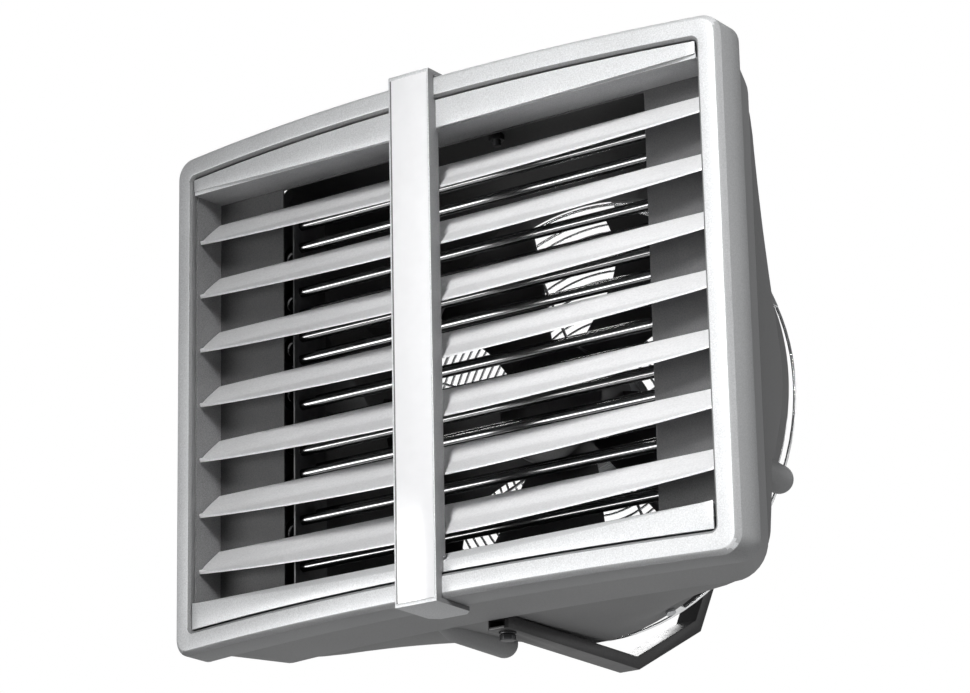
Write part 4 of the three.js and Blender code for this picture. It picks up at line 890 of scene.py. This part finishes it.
for number in range(BLADE_COUNT):
    blade_bm = bmesh.new()
    bmesh.ops.create_grid(blade_bm, x_segments=20, y_segments=24, size=1.0)
    for vert in blade_bm.verts:
        vert.co = on_the_blade(vert.co.x, (vert.co.y + 1) / 2)
    bmesh.ops.solidify(blade_bm, geom=blade_bm.faces[:], thickness=BLADE_WALL)
    bmesh.ops.rotate(blade_bm, verts=blade_bm.verts, cent=(0, 0, FAN_AXIS),
                     matrix=Matrix.Rotation(2 * math.pi * number / BLADE_COUNT, 3, "Y"))
    seat(blade_bm, f"sickle_blade_{number + 1}", black_plastic, "fan",
         f"fan_blade_{number + 1}", sharp=50)

motor_profile = list(MOTOR_FRONT)
for fin in range(FIN_COUNT):
    start = FIN_START + FIN_PITCH * fin
    motor_profile += [(radius, start + y) for radius, y in FIN_PROFILE]
motor_profile += MOTOR_BACK
motor_bm = bmesh.new()
turned_part(motor_bm, motor_profile)
seat(motor_bm, "motor", galvanised, "casing", "motor_stator", sharp=35)

# ---- Guard ---------------------------------------------------------------------------
# Bright plated wire: close rings on eight bent spokes, welded to a plate for the motor
# and to four flat tabs that are screwed inside the rim.
WIRE = 1.2
HEAVY_WIRE = 1.5
WIRE_SIDES = 8
GUARD_Y = 300.0
GUARD_RADIUS = 207.0
GUARD_RINGS = 19
BASE_RADIUS = 210.9
BASE_Y = 278.8
PLATE_RADIUS = 56
PLATE_PROFILE = [
    (AT_AXIS, 296.6), (54.6, 296.6), (PLATE_RADIUS, 297.2), (PLATE_RADIUS, 298), (54.6, 298.5),
    (AT_AXIS, 298.5),
]
SPOKE_COUNT = 8
SPOKE_TURN = 22.5
SPOKE_LINE = [
    (46, 297.6), (120, 297.6), (200, 297.6), (205, 296.6), (208, 293), (209.5, 287),
    (BASE_RADIUS, BASE_Y),
]
TAB_COUNT = 4
TAB_TURN = -67.5
TAB_SIZE = (1.8, 26, 14)
TAB_Y = 279

plated_wire = finish("plated_wire", (0.86, 0.865, 0.87), (0.74, 0.745, 0.75),
                     rough=(0.16, 0.28), metallic=1.0, fine=300, broad=40, cloud=0.5,
                     relief=0.003)


def wire_ring(bm, radius, y, wire):
    """A ring of round wire about the fan's axis."""
    placed = Matrix.Translation((radius, y, FAN_AXIS))
    made = bmesh.ops.create_circle(bm, segments=WIRE_SIDES, radius=wire, matrix=placed)["verts"]
    edges = list(dict.fromkeys(edge for vert in made for edge in vert.link_edges))
    bmesh.ops.spin(bm, geom=list(made) + edges, cent=(0, 0, FAN_AXIS), axis=(0, 1, 0),
                   angle=2 * math.pi, steps=TURN_STEPS, use_merge=True)


def wire_along(bm, points, wire):
    """A round wire through points in the plane of the fan's axis and one radius: (r, y)."""
    bmesh.ops.create_circle(bm, segments=WIRE_SIDES, radius=wire)
    verts, edges = list(bm.verts), list(bm.edges)
    place = Matrix.Identity(4)
    for number, (radius, y) in enumerate(points):
        before = points[max(0, number - 1)]
        after = points[min(len(points) - 1, number + 1)]
        heading = Vector((after[0] - before[0], after[1] - before[1], 0)).normalized()
        if number:
            verts, edges = extruded(bm, edges)
            bmesh.ops.transform(bm, matrix=place.inverted(), verts=verts)
        turn = Vector((0, 0, 1)).rotation_difference(heading).to_matrix().to_4x4()
        place = Matrix.Translation((radius, y, 0)) @ turn
        bmesh.ops.transform(bm, matrix=place, verts=verts)
    bmesh.ops.holes_fill(bm, edges=bm.edges)


def weld_on(bm, part):
    """Adds a part's mesh to the guard's and frees the part."""
    mesh = bpy.data.meshes.new("welded")
    part.to_mesh(mesh)
    part.free()
    bm.from_mesh(mesh)
    bpy.data.meshes.remove(mesh)


guard_bm = bmesh.new()
ring_gap = (GUARD_RADIUS - PLATE_RADIUS) / GUARD_RINGS
for number in range(1, GUARD_RINGS):
    wire_ring(guard_bm, PLATE_RADIUS + ring_gap * number, GUARD_Y, WIRE)
wire_ring(guard_bm, GUARD_RADIUS, GUARD_Y - (HEAVY_WIRE - WIRE), HEAVY_WIRE)
wire_ring(guard_bm, BASE_RADIUS, BASE_Y, HEAVY_WIRE)
for number in range(SPOKE_COUNT):
    angle = math.radians(SPOKE_TURN + 360 / SPOKE_COUNT * number)
    spoke_bm = bmesh.new()
    wire_along(spoke_bm, SPOKE_LINE, HEAVY_WIRE)
    bmesh.ops.rotate(spoke_bm, verts=spoke_bm.verts, matrix=Matrix.Rotation(-angle, 3, "Y"))
    bmesh.ops.translate(spoke_bm, verts=spoke_bm.verts, vec=(0, 0, FAN_AXIS))
    weld_on(guard_bm, spoke_bm)
plate_bm = bmesh.new()
turned_part(plate_bm, PLATE_PROFILE)
weld_on(guard_bm, plate_bm)
for number in range(TAB_COUNT):
    angle = math.radians(TAB_TURN + 360 / TAB_COUNT * number)
    tab = bmesh.ops.create_cube(guard_bm, size=1.0)["verts"]
    bmesh.ops.scale(guard_bm, verts=tab, vec=TAB_SIZE)
    bmesh.ops.translate(guard_bm, verts=tab, vec=(BASE_RADIUS, TAB_Y, 0))
    bmesh.ops.rotate(guard_bm, verts=tab, matrix=Matrix.Rotation(-angle, 3, "Y"))
    bmesh.ops.translate(guard_bm, verts=tab, vec=(0, 0, FAN_AXIS))
seat(guard_bm, "guard", plated_wire, "casing", "fan_guard", sharp=50)

for number in range(1, 5):
    refined(f"guard_screw_{number}", f"rim_screw_{number}", galvanised, 0.3, "casing")
    refined(f"motor_screw_{number}", f"plate_screw_{number}", galvanised, 0.3, "casing")

# ---- Terminal box --------------------------------------------------------------------
# A black moulded box on the left of the hood, with a screwed lid and a cable gland below.
# Each part keeps its solid's shape and gets broken edges.
refined("terminal_box", "junction_box", black_plastic, 0.6, "casing")
refined("terminal_lid", "junction_lid", black_plastic, 0.8, "casing")
refined("cable_gland", "gland", black_plastic, 0.4, "casing")
for number in (1, 2):
    refined(f"lid_screw_{number}", f"junction_screw_{number}", galvanised, 0.2, "casing")

# ---- Bracket -------------------------------------------------------------------------
# Rectangular steel tube bent into a bow and powder coated black. At the ends of its arms
# bolts, washers, nuts and spacers make the two pivots of the casing.
black_coat = finish("black_coat", (0.05, 0.049, 0.05), (0.03, 0.029, 0.03),
                    rough=(0.38, 0.5), fine=600, broad=12, relief=0.04)
black_bolt = finish("black_bolt", (0.06, 0.06, 0.062), (0.03, 0.03, 0.032),
                    rough=(0.3, 0.42), metallic=0.6, fine=300, relief=0.01)
refined("bracket_bow", "bow", black_coat, 0.9, "bracket")
for place in ("lower", "upper"):
    refined(f"pivot_bolt_{place}", f"bolt_{place}", black_bolt, 0.4, "bracket")
    refined(f"pivot_washer_{place}", f"washer_{place}", black_bolt, 0.2, "bracket")
    refined(f"pivot_nut_{place}", f"nut_{place}", black_bolt, 0.4, "bracket")
    refined(f"pivot_spacer_{place}", f"spacer_{place}", galvanised, 0.15, "casing")
